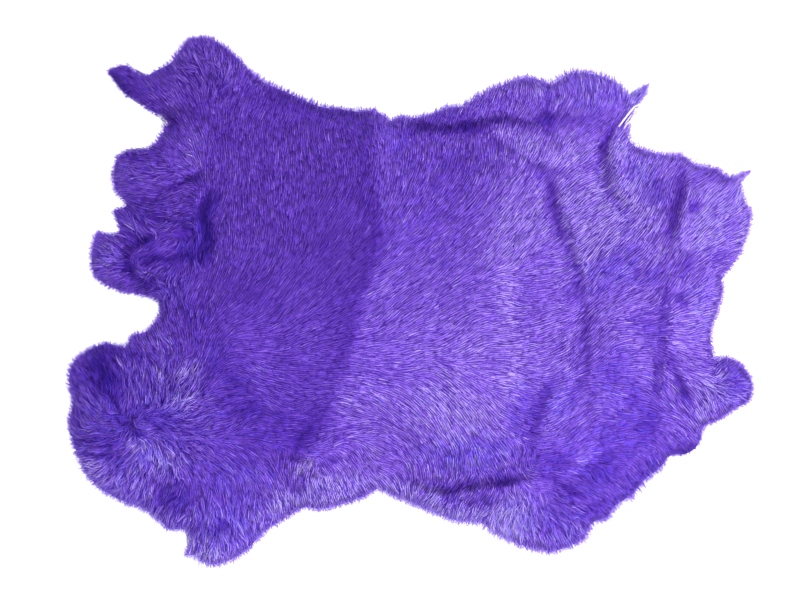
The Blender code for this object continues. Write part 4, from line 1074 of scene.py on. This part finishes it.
def drawn_along_lie(field, run):
    """A field averaged along the lie of the hair, so that its swells run with the locks."""
    total = np.zeros(len(FIELD_POINTS))
    for way in (-1.0, 1.0):
        walk = FIELD_POINTS.copy()
        for step in range(LUMP_STEPS):
            total += read_field(field, walk) / (2 * LUMP_STEPS)
            walk = walk + way * run / LUMP_STEPS * read_field(lie, walk)
    return total


def combed_map(piece):
    """Gives a piece a map in mm whose V runs along the lie of the hair, patch by patch."""
    mesh = piece.data
    random = np.random.default_rng(COMB_SEED)
    x = np.arange(-FIELD_HALF_LENGTH_MM, FIELD_HALF_LENGTH_MM, PATCH_MM)
    y = np.arange(-FIELD_HALF_WIDTH_MM, FIELD_HALF_WIDTH_MM, PATCH_MM)
    seeds = np.stack(np.meshgrid(x, y), axis=2).reshape(-1, 2)
    seeds += random.uniform(-0.5, 0.5, seeds.shape) * PATCH_MM
    ways = read_field(lie, seeds)
    shifts = random.uniform(0.0, MAP_SHIFT_MM, seeds.shape)
    points = mesh_points(mesh)[:, :2] / MM
    loops = np.empty(len(mesh.loops), int)
    mesh.loops.foreach_get("vertex_index", loops)
    corners = points[loops].reshape(-1, 3, 2)
    middles = corners.mean(1)
    picks = np.concatenate([((block[:, None] - seeds[None]) ** 2).sum(2).argmin(1)
                            for block in np.array_split(middles, 60)])
    away = corners - seeds[picks][:, None]
    ahead = ways[picks][:, None]
    v = (away * ahead).sum(2) + shifts[picks, 0][:, None]
    u = away[..., 0] * ahead[..., 1] - away[..., 1] * ahead[..., 0] + shifts[picks, 1][:, None]
    combed = np.stack([u, v], axis=2).astype(np.float32)
    mesh.uv_layers.new(name=COMBED_MAP).uv.foreach_set("vector", combed.ravel())


tone_and_painted_light_field, blue_field, glint_field, ruffle_field = place_fields(FIELD_POINTS)
smooth_field = smooth_field_at(FIELD_POINTS)
lie = lie_field(FIELD_POINTS)
lump_field = np.zeros(len(FIELD_POINTS))
for layer, (width, height) in enumerate(LUMPS):
    lump_field += height * drawn_along_lie(noise_field(FIELD_POINTS, width, layer), LUMP_RUN_MM)
lump_field *= between(LUMP_SHARES, ruffle_field)
crown = np.sqrt(1.0 - (1.0 - np.clip(depth_field / RIM_ROUNDING_MM, 0.0, 1.0)) ** 2)
pile_field = PILE_MM + fold_field + swell_field(FIELD_POINTS) + lump_field
pile_field = np.maximum(pile_field, LEAST_PILE_MM)
fur_field = RIM_HEIGHT_MM + (pile_field - RIM_HEIGHT_MM) * crown

underfur_edge = inset_line(rim, UNDERFUR_INSET_MM)
underfur = cut_slab("underfur", underfur_edge, UNDERFUR_CELL_MM)
wool_field = fur_field - between(UNDERFUR_BELOW_MM, ruffle_field)
hide_top = under_field + HIDE_MM
set_heights(underfur, np.maximum(wool_field, hide_top + LEAST_UNDERFUR_MM), hide_top)

combed_map(underfur)
# The wool takes the tone of each place, with its painted shade and painted light.
tone_layer = underfur.data.attributes.new("tone", "FLOAT", "POINT")
tone_layer.data.foreach_set("value", read_field(
    tone_and_painted_light_field, mesh_points(underfur.data)[:, :2] / MM).astype(np.float32))

# Dense dyed underfur: matt violet, drawn in fine streaks along the lie of the hair. Single hairs
# are 0.02 mm thick, so each streak stands for a strand of them about 0.5 mm wide.
wool, tree, shader = new_material("dyed_underfur", 0.85)
shader.inputs["Specular Tint"].default_value = linear(GLOSS)
combed = add_node(tree, "ShaderNodeUVMap", settings={"uv_map": COMBED_MAP})
drawn_out = add_node(tree, "ShaderNodeMapping", links={"Vector": combed.outputs["UV"]})
drawn_out.inputs["Scale"].default_value = (2.0, 0.16, 1.0)
streaks = add_node(tree, "ShaderNodeTexNoise", settings={"noise_dimensions": "2D"},
                   values={"Scale": 1.0, "Detail": 3.0, "Roughness": 0.6},
                   links={"Vector": drawn_out.outputs["Vector"]})
deep = add_node(tree, "ShaderNodeAttribute", settings={"attribute_name": "tone"})
change = add_node(tree, "ShaderNodeMapRange", links={"Value": streaks.outputs["Fac"]},
                  values={"From Min": 0.3, "From Max": 0.7, "To Min": -0.16, "To Max": 0.12})
tone = add_node(tree, "ShaderNodeMath", settings={"operation": "ADD", "use_clamp": True})
tree.links.new(deep.outputs["Fac"], tone.inputs[0])
tree.links.new(change.outputs["Result"], tone.inputs[1])
tint = add_node(tree, "ShaderNodeValToRGB", links={"Fac": tone.outputs["Value"]})
set_ramp(tint, [(tone, linear(low)) for tone, low, high, blue_low, blue_high in HAIR_PALETTE])
tree.links.new(tint.outputs["Color"], shader.inputs["Base Color"])
strands = add_node(tree, "ShaderNodeBump", values={"Strength": 0.5, "Distance": 0.0005},
                   links={"Height": streaks.outputs["Fac"]})
tree.links.new(strands.outputs["Normal"], shader.inputs["Normal"])
underfur.data.materials.clear()
underfur.data.materials.append(wool)


# Guard hair
# The long glossy outer hairs, which lie over each other along the body in fine pointed locks.
# The roots are darker and the tips a pale lavender, partly because the dye took more at the
# roots and partly as painted shade at the roots and painted light on the tips. One lock is
# modelled as a spindle and copied along the lie of the hair, roots sunk in the underfur.

COMBED = {
    "pitch": 1.85,
    "hairs": 5,
    "length": (8.0, 12.5),
    "width": 0.55,
    "spread": (1.25, 1.15),
    "sway": 2.5,
    "wave": 0.05,
    "lift": 0.20,
    # Tones of the dark and the pale hairs, which alternate across a lock: painted shade and painted
    # highlights of its fine ridges.
    "dark": -0.44,
    "pale": 0.50,
    "roll": 26.0,
    # Stations from root to tip: share of the length, height over the fur in mm, share of the width.
    "stations": ((0.0, -0.9, 0.0), (0.42, 0.08, 1.0), (1.0, 0.02, 0.0)),
}
RUFFLED = {
    "pitch": 2.75,
    "hairs": 7,
    "length": (9.0, 15.0),
    "width": 0.50,
    "spread": (1.7, 0.8),
    "sway": 12.0,
    "wave": 0.22,
    "lift": 0.55,
    # Tones of the dark and the pale hairs, which alternate across a lock: painted shade and painted
    # highlights of its fine ridges.
    "dark": -0.52,
    "pale": 0.60,
    "roll": 22.0,
    "stations": ((0.0, -2.0, 0.0), (0.35, -0.25, 1.0), (0.7, 0.4, 0.75), (1.0, 0.25, 0.0)),
}
# Where the ruffle is between these, the two kinds are mixed.
RUFFLE_MIX = (0.15, 0.6)
HAIR_FLATNESS = 0.5
LOCK_TONE = 0.02
# How much the tone of a hair varies, as a share of the tone at the place.
HAIR_TONE = 0.14
PALE_LIFT_MM = 0.06
# Glints are painted highlights: a share of the hairs is made paler in tone.
GLINT_SHARE = 0.05
GLINT_TONE = 0.24
# Where along a hair most of it is seen, since its root is under others.
SEEN_SHARE = 0.7
# How much higher the hair lies at the rim, and how fast that fades away from it.
OVERHANG_MM = 1.6
OVERHANG_RUN_MM = 2.5
# The least depth of a root within the rim, and the shares of its length that a lock is tried at.
ROOT_DEPTH_MM = 1.5
LENGTH_TRIES = (1.0, 0.75, 0.55, 0.4)
# The least height of a hair over the under side of the hide.
LEAST_HEIGHT_MM = 0.45
# How far a hair slides along its lock, at its tip.
SLIDE_MM = (-2.6, 2.0)
HAIR_WIDTHS = (0.75, 1.25)
BESIDE_JITTER = 0.12
# How much the lift of a hair varies, as a share of its lock's, and where along it the lift is full.
HAIR_LIFT = 0.2
LIFT_FULL = 0.6
# How far locks stand out past the rim, as a share of the reach of its wisps.
RIM_FUZZ = 0.7
HAIR_SEED = 31

# The dye's palette: where tone 0 lies in it for violet and for bluer hair, how far tone 1 is from
# there, and half the breadth that a hair takes.
VIOLET_PLACE = 0.02
BLUE_PLACE = 0.52
TONE_RUN = 0.46
HALF_STRAND = 0.008

# Strips of the skin, each with its hair as one piece. Columns: name, kind, least and most x in mm.
STRIPS = (
    ("combed_hair_shoulder", COMBED, -230, -85),
    ("combed_hair_left_side", COMBED, -85, -32),
    ("combed_hair_back", COMBED, -32, 22),
    ("combed_hair_right_side", COMBED, 22, 78),
    ("combed_hair_flank", COMBED, 78, 132),
    ("combed_hair_hind_legs", COMBED, 132, 230),
    ("ruffled_hair_flaps", RUFFLED, -230, -150),
    ("ruffled_hair_shoulder", RUFFLED, -150, -90),
    ("ruffled_hair_belly", RUFFLED, -90, 75),
    ("ruffled_hair_hind_legs", RUFFLED, 75, 230),
)


def spindle(levels):
    """A three-sided spindle, pointed at both ends, as each point's level, its angle and whether
    it is on a ring, and its faces."""
    bpy.ops.object.select_all(action="DESELECT")
    if levels == 3:
        bpy.ops.mesh.primitive_cone_add(vertices=3, radius1=0.5, depth=1.0, end_fill_type="TRIFAN")
    else:
        bpy.ops.mesh.primitive_uv_sphere_add(segments=3, ring_count=levels - 1, radius=0.5)
    shape = bpy.context.active_object
    bpy.ops.object.mode_set(mode="EDIT")
    bpy.ops.mesh.select_all(action="SELECT")
    bpy.ops.mesh.quads_convert_to_tris()
    bpy.ops.object.mode_set(mode="OBJECT")
    points = mesh_points(shape.data)
    faces = np.array([list(face.vertices) for face in shape.data.polygons])
    ring = np.hypot(points[:, 0], points[:, 1]) > 1e-4
    points[~ring, 2] = np.sign(points[~ring, 2])
    heights = np.unique(np.round(points[:, 2], 4))
    level = np.abs(points[:, 2][:, None] - heights[None]).argmin(1)
    bpy.data.objects.remove(shape, do_unlink=True)
    return level, np.arctan2(points[:, 1], points[:, 0]), ring, faces


def hair_paths(tips, lengths, stations):
    """Points of each lock at its stations, traced back from its tip along the lie of the hair."""
    path = [tips]
    for near, far in zip(stations[-2::-1], stations[::-1]):
        step = (lengths * (far[0] - near[0]))[:, None]
        ahead = path[0]
        middle = ahead - 0.5 * step * read_field(lie, ahead)
        path.insert(0, ahead - step * read_field(lie, middle))
    return np.stack(path, axis=1)


def turned_about(paths, pivot, angle):
    """Paths on the table turned about a point of each."""
    arms = paths - pivot[:, None]
    cosine = np.cos(angle)[:, None]
    sine = np.sin(angle)[:, None]
    return pivot[:, None] + np.stack([arms[..., 0] * cosine - arms[..., 1] * sine,
                                      arms[..., 0] * sine + arms[..., 1] * cosine], axis=2)


def point_along(paths, shares, share):
    """The point of each path at a share of its length, between the stations at shares."""
    after = int(np.searchsorted(shares, share))
    part = (share - shares[after - 1]) / (shares[after] - shares[after - 1])
    return paths[:, after - 1] + part * (paths[:, after] - paths[:, after - 1])


def side_ways(paths):
    """Unit vectors ahead along each path and to the right of it."""
    ahead = np.gradient(paths, axis=1)
    ahead /= np.linalg.norm(ahead, axis=2)[..., None] + 1e-9
    return ahead, np.stack([ahead[..., 1], -ahead[..., 0]], axis=2)


def hair_mesh(name, hairs, stations, material):
    """Copies a flat spindle along every hair, and gives it its place in the dye's palette."""
    paths, heights, widths, rolls, palette = hairs
    level, angle, ring, template = spindle(len(stations))
    shares = np.array([station[0] for station in stations])[level]
    half = 0.5 * widths[:, None] * (np.array([station[2] for station in stations])[level] * ring)
    flat = -HAIR_FLATNESS * np.cos(angle)
    wide = -np.sin(angle)
    cosine = np.cos(rolls)[:, None]
    sine = np.sin(rolls)[:, None]
    side = side_ways(paths)[1]
    points = np.empty((len(paths), len(level), 3))
    across = half * (wide * cosine - flat * sine)
    points[..., :2] = paths[:, level] + across[..., None] * side[:, level]
    points[..., 2] = heights[:, level] + half * (flat * cosine + wide * sine)
    faces = template[None] + (np.arange(len(paths)) * len(level))[:, None, None]
    corners = faces.ravel()
    mesh = bpy.data.meshes.new(name)
    mesh.vertices.add(len(paths) * len(level))
    mesh.vertices.foreach_set("co", (points * MM).ravel())
    mesh.loops.add(len(corners))
    mesh.loops.foreach_set("vertex_index", corners)
    mesh.polygons.add(len(corners) // 3)
    mesh.polygons.foreach_set("loop_start", np.arange(0, len(corners), 3))
    mesh.update(calc_edges=True)
    u = palette[:, None] + HALF_STRAND * (wide * ring)[None]
    v = np.broadcast_to(0.02 + 0.96 * shares[None], u.shape)
    place = np.stack([u.ravel(), v.ravel()], axis=1)[corners].astype(np.float32).ravel()
    for map_name in ("OFBake", "fur_tone"):
        mesh.uv_layers.new(name=map_name).uv.foreach_set("vector", place)
    mesh.materials.append(material)
    piece = bpy.data.objects.new(name, mesh)
    bpy.context.scene.collection.objects.link(piece)
    return piece


def palette_stops(violet, blue):
    """The stops of one ramp through the palette, from two columns of HAIR_PALETTE."""
    stops = []
    for start, column in ((VIOLET_PLACE, violet), (BLUE_PLACE, blue)):
        stops += [(start + TONE_RUN * row[0], linear(row[column])) for row in HAIR_PALETTE]
    return stops


def fur_material():
    """Dyed guard hair with a soft gloss. Its tone runs across the map, and its length up it."""
    material, tree, shader = new_material("dyed_guard_hair", 0.45)
    shader.inputs["Specular Tint"].default_value = linear(GLOSS)
    place = add_node(tree, "ShaderNodeUVMap", settings={"uv_map": "fur_tone"})
    parts = add_node(tree, "ShaderNodeSeparateXYZ", links={"Vector": place.outputs["UV"]})
    drawn_out = add_node(tree, "ShaderNodeMapping", links={"Vector": place.outputs["UV"]})
    drawn_out.inputs["Scale"].default_value = (150.0, 2.5, 1.0)
    strands = add_node(tree, "ShaderNodeTexNoise", settings={"noise_dimensions": "2D"},
                       values={"Scale": 1.0, "Detail": 1.0},
                       links={"Vector": drawn_out.outputs["Vector"]})
    # Root and tip colours: the roots darker partly as painted shade, the tips paler partly as
    # painted light.
    root = add_node(tree, "ShaderNodeValToRGB", links={"Fac": parts.outputs["X"]})
    set_ramp(root, palette_stops(1, 3))
    tip = add_node(tree, "ShaderNodeValToRGB", links={"Fac": parts.outputs["X"]})
    set_ramp(tip, palette_stops(2, 4))
    along = add_node(tree, "ShaderNodeMapRange", values={"From Min": 0.25, "From Max": 0.85},
                     links={"Value": parts.outputs["Y"]})
    blend = add_node(tree, "ShaderNodeMix", settings={"data_type": "RGBA"},
                     links={"Factor": along.outputs["Result"]})
    tree.links.new(root.outputs["Color"], blend.inputs[6])
    tree.links.new(tip.outputs["Color"], blend.inputs[7])
    light = add_node(tree, "ShaderNodeMapRange", links={"Value": strands.outputs["Fac"]},
                     values={"From Min": 0.3, "From Max": 0.7, "To Min": 0.86, "To Max": 1.12})
    strand = add_node(tree, "ShaderNodeVectorMath", settings={"operation": "SCALE"},
                      links={"Scale": light.outputs["Result"]})
    tree.links.new(blend.outputs[2], strand.inputs[0])
    tree.links.new(strand.outputs["Vector"], shader.inputs["Base Color"])
    relief = add_node(tree, "ShaderNodeBump", values={"Strength": 0.25, "Distance": 0.0002},
                      links={"Height": strands.outputs["Fac"]})
    tree.links.new(relief.outputs["Normal"], shader.inputs["Normal"])
    return material


def lock_tips(kind, random):
    """Tips of the locks of one kind, on a jittered grid that goes a little beyond the rim."""
    columns = np.arange(-FIELD_HALF_LENGTH_MM, FIELD_HALF_LENGTH_MM, kind["pitch"])
    rows = np.arange(-FIELD_HALF_WIDTH_MM, FIELD_HALF_WIDTH_MM, kind["pitch"])
    tips = np.stack(np.meshgrid(columns, rows), axis=2).reshape(-1, 2)
    tips += random.uniform(-0.5, 0.5, tips.shape) * kind["pitch"]
    outside = -read_field(depth_field, tips) / read_field(reach_field, tips)
    tips = tips[outside < RIM_FUZZ * random.uniform(0.0, 1.0, len(tips))]
    least, most = RUFFLE_MIX
    ruffled = smooth_step((read_field(ruffle_field, tips) - least) / (most - least))
    drawn = random.uniform(0.0, 1.0, len(tips)) < ruffled
    return tips[drawn == (kind is RUFFLED)]


def grown_hairs(kind, random):
    """All hairs of one kind: paths, heights, widths, rolls and places in the palette."""
    stations = kind["stations"]
    tips = lock_tips(kind, random)
    lengths = random.uniform(*kind["length"], len(tips))
    # A lock whose root would fall outside the skin is shortened until it doesn't, or left out.
    rooted = np.zeros(len(tips), bool)
    paths = hair_paths(tips, lengths, stations)
    for share in LENGTH_TRIES:
        tried = hair_paths(tips, lengths * share, stations)
        fits = (read_field(depth_field, tried[:, 0]) > ROOT_DEPTH_MM) & ~rooted
        paths[fits] = tried[fits]
        rooted |= fits
    paths = paths[rooted]
    count = len(paths)
    sway = np.radians(kind["sway"]) * random.normal(0.0, 1.0, count)
    paths = turned_about(paths, paths[:, -1], sway)
    lock_lift = kind["lift"] * random.normal(0.0, 1.0, count)
    lock_tone = LOCK_TONE * random.normal(0.0, 1.0, count)
    shares = np.array([station[0] for station in stations])
    over = np.array([station[1] for station in stations])
    spread = between(kind["spread"], shares)
    ahead, side = side_ways(paths)
    found = []
    # Dark and pale hairs alternate across each lock, as painted shade and painted highlights of its
    # fine ridges.
    for hair in range(kind["hairs"]):
        pale = hair % 2 == 1
        jitter = random.uniform(-BESIDE_JITTER, BESIDE_JITTER, count)
        beside = 2.0 * hair / (kind["hairs"] - 1) - 1.0 + jitter
        beside = beside[:, None] * spread[None]
        beside += kind["wave"] * random.normal(0.0, 1.0, (count, len(stations)))
        slide = random.uniform(*SLIDE_MM, count)[:, None] * shares[None]
        moved = paths + side * beside[..., None] + ahead * slide[..., None]
        flat = moved.reshape(-1, 2)
        surface = read_field(fur_field, flat).reshape(count, -1)
        floor = read_field(under_field, flat).reshape(count, -1)
        depth = read_field(depth_field, flat).reshape(count, -1)
        overhang = OVERHANG_MM * np.exp(-np.abs(depth) / OVERHANG_RUN_MM)
        lift = (lock_lift + HAIR_LIFT * kind["lift"] * random.normal(0.0, 1.0, count)
                + PALE_LIFT_MM * pale)[:, None]
        height = surface + overhang + over[None] + lift * smooth_step(shares / LIFT_FULL)[None]
        height = np.maximum(height, floor + LEAST_HEIGHT_MM)
        seen = point_along(moved, shares, SEEN_SHARE)
        glint_share = GLINT_SHARE + read_field(glint_field, seen)
        glint = GLINT_TONE * (random.uniform(0.0, 1.0, count) < glint_share)
        own = random.normal(kind["pale"] if pale else kind["dark"], HAIR_TONE, count)
        own *= 1.0 - read_field(smooth_field, seen)
        tone = read_field(tone_and_painted_light_field, seen) * (1.0 + own) + lock_tone + glint
        widths = kind["width"] * random.uniform(*HAIR_WIDTHS, count)
        rolls = np.radians(kind["roll"]) * random.normal(0.0, 1.0, count)
        found.append((moved, height, widths, rolls, palette_place(tone, seen, random)))
    return [np.concatenate(column) for column in zip(*found)]


def palette_place(tones, points, random):
    """Where hairs lie in the palette, by their tones and the share of bluer hair there."""
    bluer = random.uniform(0.0, 1.0, len(tones)) < read_field(blue_field, points)
    return np.where(bluer, BLUE_PLACE, VIOLET_PLACE) + TONE_RUN * np.clip(tones, 0.02, 0.98)


random = np.random.default_rng(HAIR_SEED)
reach_field = rim_sizes[(rim_place * len(rim)).astype(int) % len(rim), 0]
fur = fur_material()
guard_hair = []
for kind in (COMBED, RUFFLED):
    hairs = grown_hairs(kind, random)
    across = hairs[0][:, 1, 0]
    for name, strip_kind, least, most in STRIPS:
        if strip_kind is kind:
            within = (across >= least) & (across < most)
            own_hairs = [column[within] for column in hairs]
            guard_hair.append(hair_mesh(name, own_hairs, kind["stations"], fur))


# Wisps at the rim
# Single fine hairs and thin points of locks that stand out past the edge of the skin, longest
# along the top edge and the lower right edge, and short and downy round the flaps.

WISP_WIDTH_MM = 0.36
WISP_WIDTHS = (0.5, 1.3)
WISP_TONE = 0.22
WISP_TONE_SPREAD = 0.12
# The shape of the spread of their lengths, and the longest as a multiple of the reach.
WISP_LENGTHS = (1.0, 2.6)
WISP_REACH = 2.3
# How far inside the rim they start, and where their middle is as a share of that.
WISP_ROOT_MM = (2.5, 7.0)
WISP_MIDDLE = 0.15
WISP_LEAST_MM = 0.35
# The least height of their tips, and how much higher the highest are.
WISP_TIP_MM = 0.8
WISP_TIP_RISE_MM = 2.8
# Their way is made up of the way out from the rim, less of it where the hair points out by
# itself, the lie of the hair, and a turn of their own.
WISP_OUT = 1.1
WISP_LESS_OUT = 0.5
WISP_LIE = 0.7
WISP_TURN = 0.25
WISP_EDGE_MM = 0.6
WISP_BEND_MM = 0.2
WISP_SEED = 47

random = np.random.default_rng(WISP_SEED)
steps = np.linalg.norm(np.roll(rim, -1, axis=0) - rim, axis=1)
wisp_count = random.poisson(rim_sizes[:, 1] * steps)
at = np.repeat(np.arange(len(rim)), wisp_count)
away = outward(rim)[at]
edge = rim[at] + random.uniform(-WISP_EDGE_MM, WISP_EDGE_MM, (len(at), 2))
reach = rim_sizes[at, 0] * random.beta(*WISP_LENGTHS, len(at)) * WISP_REACH
hair_way = read_field(lie, edge - 2.0 * away)
outwards = np.clip((hair_way * away).sum(1), -0.2, 1.0)[:, None]
way = away * (WISP_OUT - WISP_LESS_OUT * outwards) + WISP_LIE * hair_way
way = way + random.normal(0.0, WISP_TURN, (len(at), 2))
way /= np.linalg.norm(way, axis=1)[:, None]
straight = np.maximum((way * away).sum(1), 0.5)
tip = edge + way * (reach / straight)[:, None]
bend = random.normal(0.0, WISP_BEND_MM, len(at))[:, None]
bend = bend * np.stack([-way[:, 1], way[:, 0]], axis=1)
back = random.uniform(*WISP_ROOT_MM, len(at))[:, None]
wisp_path = np.stack([edge - back * way, edge - WISP_MIDDLE * back * way + bend, tip], axis=1)
surface = read_field(fur_field, wisp_path.reshape(-1, 2)).reshape(len(at), -1)
rise = random.uniform(0.0, 1.0, len(at))[:, None]
wisp_heights = np.stack([surface[:, 0] + 0.1, surface[:, 1] + OVERHANG_MM + 0.2,
                         WISP_TIP_MM + WISP_TIP_RISE_MM * rise[:, 0]], axis=1)
wisp_heights = np.maximum(wisp_heights, WISP_LEAST_MM)
wisp_tones = read_field(tone_and_painted_light_field, wisp_path[:, 1])
wisp_tones = wisp_tones + random.normal(WISP_TONE, WISP_TONE_SPREAD, len(at))
wisps = hair_mesh("rim_wisps", [
    wisp_path, wisp_heights, WISP_WIDTH_MM * random.uniform(*WISP_WIDTHS, len(at)),
    random.normal(0.0, 0.5, len(at)), palette_place(wisp_tones, wisp_path[:, 1], random)],
    COMBED["stations"], fur)


# Torn skin
# At the torn edge the bare skin shows as narrow white shreds, which curl up from under the fur.
# It is the same tanned skin, but its torn inside took no dye.

SHRED_HEIGHT_MM = 8.6
SHRED_FLATNESS = 0.45
SHRED_STEP_MM = 1.2
SHRED_CURL_MM = 0.6
SHRED_CURL_TURN = 5.0
SHRED_SMOOTH_DEGREES = 50
# Columns: shred, thickness in mm, and its points in mm.
SHREDS = (
    ("long shred", 1.0, (
        (120.5, 102), (123.5, 106), (127, 110.5), (130, 113.8), (133, 115))),
    ("short shred", 0.8, (
        (123.5, 101), (126, 104.3), (128.5, 105.6), (132, 105.8))),
    ("thin shred", 0.4, (
        (126.5, 104.5), (129, 108.5), (130, 112))),
    ("stub", 0.5, (
        (124, 103.5), (126.5, 107), (128, 109))),
)


def shred(name, thickness, points):
    """A narrow curled strip, thin at both ends, as a closed mesh."""
    line = spline_through(points, False, SHRED_STEP_MM)
    curve = bpy.data.curves.new(name, "CURVE")
    curve.dimensions = "3D"
    curve.bevel_depth = 0.5 * thickness * MM
    curve.bevel_resolution = 2
    curve.use_fill_caps = True
    spline = curve.splines.new("POLY")
    spline.points.add(len(line) - 1)
    for index, (x, y) in enumerate(line):
        share = index / (len(line) - 1)
        curl = SHRED_CURL_MM * math.sin(SHRED_CURL_TURN * share)
        spline.points[index].co = (x * MM, y * MM, curl * MM, 1.0)
        spline.points[index].radius = 0.25 + 0.75 * math.sin(math.pi * (0.12 + 0.76 * share))
    piece = bpy.data.objects.new(name, curve)
    bpy.context.scene.collection.objects.link(piece)
    piece.scale = (1.0, 1.0, SHRED_FLATNESS)
    piece.location = (0.0, 0.0, SHRED_HEIGHT_MM * MM)
    select_only(piece)
    bpy.ops.object.convert(target="MESH")
    return bpy.context.active_object


shreds = [shred(name.replace(" ", "_"), thickness, points) for name, thickness, points in SHREDS]
select_only(shreds[0])
for piece in shreds:
    piece.select_set(True)
bpy.ops.object.join()
torn_skin = bpy.context.active_object
torn_skin.name = "torn_skin"
torn_skin.data.name = "torn_skin"
bpy.ops.object.transform_apply(location=True, rotation=True, scale=True)
# The caps of a converted curve are loose faces, so they are welded to its ends.
weld(FINE_WELD_MM)
bpy.ops.object.shade_smooth_by_angle(angle=math.radians(SHRED_SMOOTH_DEGREES))
face_outwards(torn_skin)

# Torn tanned skin: nearly white and matt, with a fibrous grain and a breath of violet.
raw_skin, tree, shader = new_material("torn_skin", 0.7)
place = add_node(tree, "ShaderNodeTexCoord").outputs["Object"]
fibres = add_node(tree, "ShaderNodeTexNoise", values={"Scale": 1400.0, "Detail": 3.0},
                  links={"Vector": place})
tint = add_node(tree, "ShaderNodeValToRGB", links={"Fac": fibres.outputs["Fac"]})
set_ramp(tint, ((0.3, linear("B7A5D8")), (0.62, linear("EDE6F8"))))
tree.links.new(tint.outputs["Color"], shader.inputs["Base Color"])
relief = add_node(tree, "ShaderNodeBump", values={"Strength": 0.5, "Distance": 0.0002},
                  links={"Height": fibres.outputs["Fac"]})
tree.links.new(relief.outputs["Normal"], shader.inputs["Normal"])
torn_skin.data.materials.clear()
torn_skin.data.materials.append(raw_skin)

fur_pieces = [underfur, *guard_hair, wisps, torn_skin]
for piece in [hide, *fur_pieces]:
    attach(piece, BODY)
    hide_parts(CAD_NODE)


# Floor, light and camera

VIEW_CENTRE_MM = (-6.7, 1.2)
VIEW_WIDTH_MM = 468.6
CAMERA_HEIGHT_M = 1.2
SENSOR_MM = 36.0
FLOOR_SIZE_M = 8.0
WORLD_STRENGTH = 1.1

bpy.ops.object.select_all(action="DESELECT")
bpy.ops.mesh.primitive_plane_add(size=FLOOR_SIZE_M, location=(0, 0, 0))
floor = bpy.context.active_object
floor.name = "floor"
paper, tree, shader = new_material("white_paper", 0.9, Emission_Strength=0.7)
shader.inputs["Base Color"].default_value = linear("FAFAFA")
shader.inputs["Emission Color"].default_value = (1.0, 1.0, 1.0, 1.0)
floor.data.materials.append(paper)

world = bpy.context.scene.world or bpy.data.worlds.new("studio")
bpy.context.scene.world = world
world.use_nodes = True
world.node_tree.nodes["Background"].inputs["Color"].default_value = (1.0, 1.0, 1.0, 1.0)
world.node_tree.nodes["Background"].inputs["Strength"].default_value = WORLD_STRENGTH


def soft_light(name, place, size, power):
    """A square soft box at a place in metres, facing the middle of the skin."""
    lamp = bpy.data.lights.new(name, "AREA")
    lamp.size = size
    lamp.energy = power
    light = bpy.data.objects.new(name, lamp)
    light.location = place
    light.rotation_euler = (-Vector(place)).to_track_quat("-Z", "Y").to_euler()
    bpy.context.scene.collection.objects.link(light)


soft_light("key_light", (1.05, 0.0, 0.95), 0.7, 21.0)

view = bpy.data.cameras.new("camera")
view.sensor_width = SENSOR_MM
view.lens = SENSOR_MM * CAMERA_HEIGHT_M / (VIEW_WIDTH_MM * MM)
camera = bpy.data.objects.new("camera", view)
camera.location = (VIEW_CENTRE_MM[0] * MM, VIEW_CENTRE_MM[1] * MM, CAMERA_HEIGHT_M)
bpy.context.scene.collection.objects.link(camera)
bpy.context.scene.camera = camera
bpy.context.scene.view_settings.view_transform = "Standard"
bpy.context.scene.view_settings.look = "None"
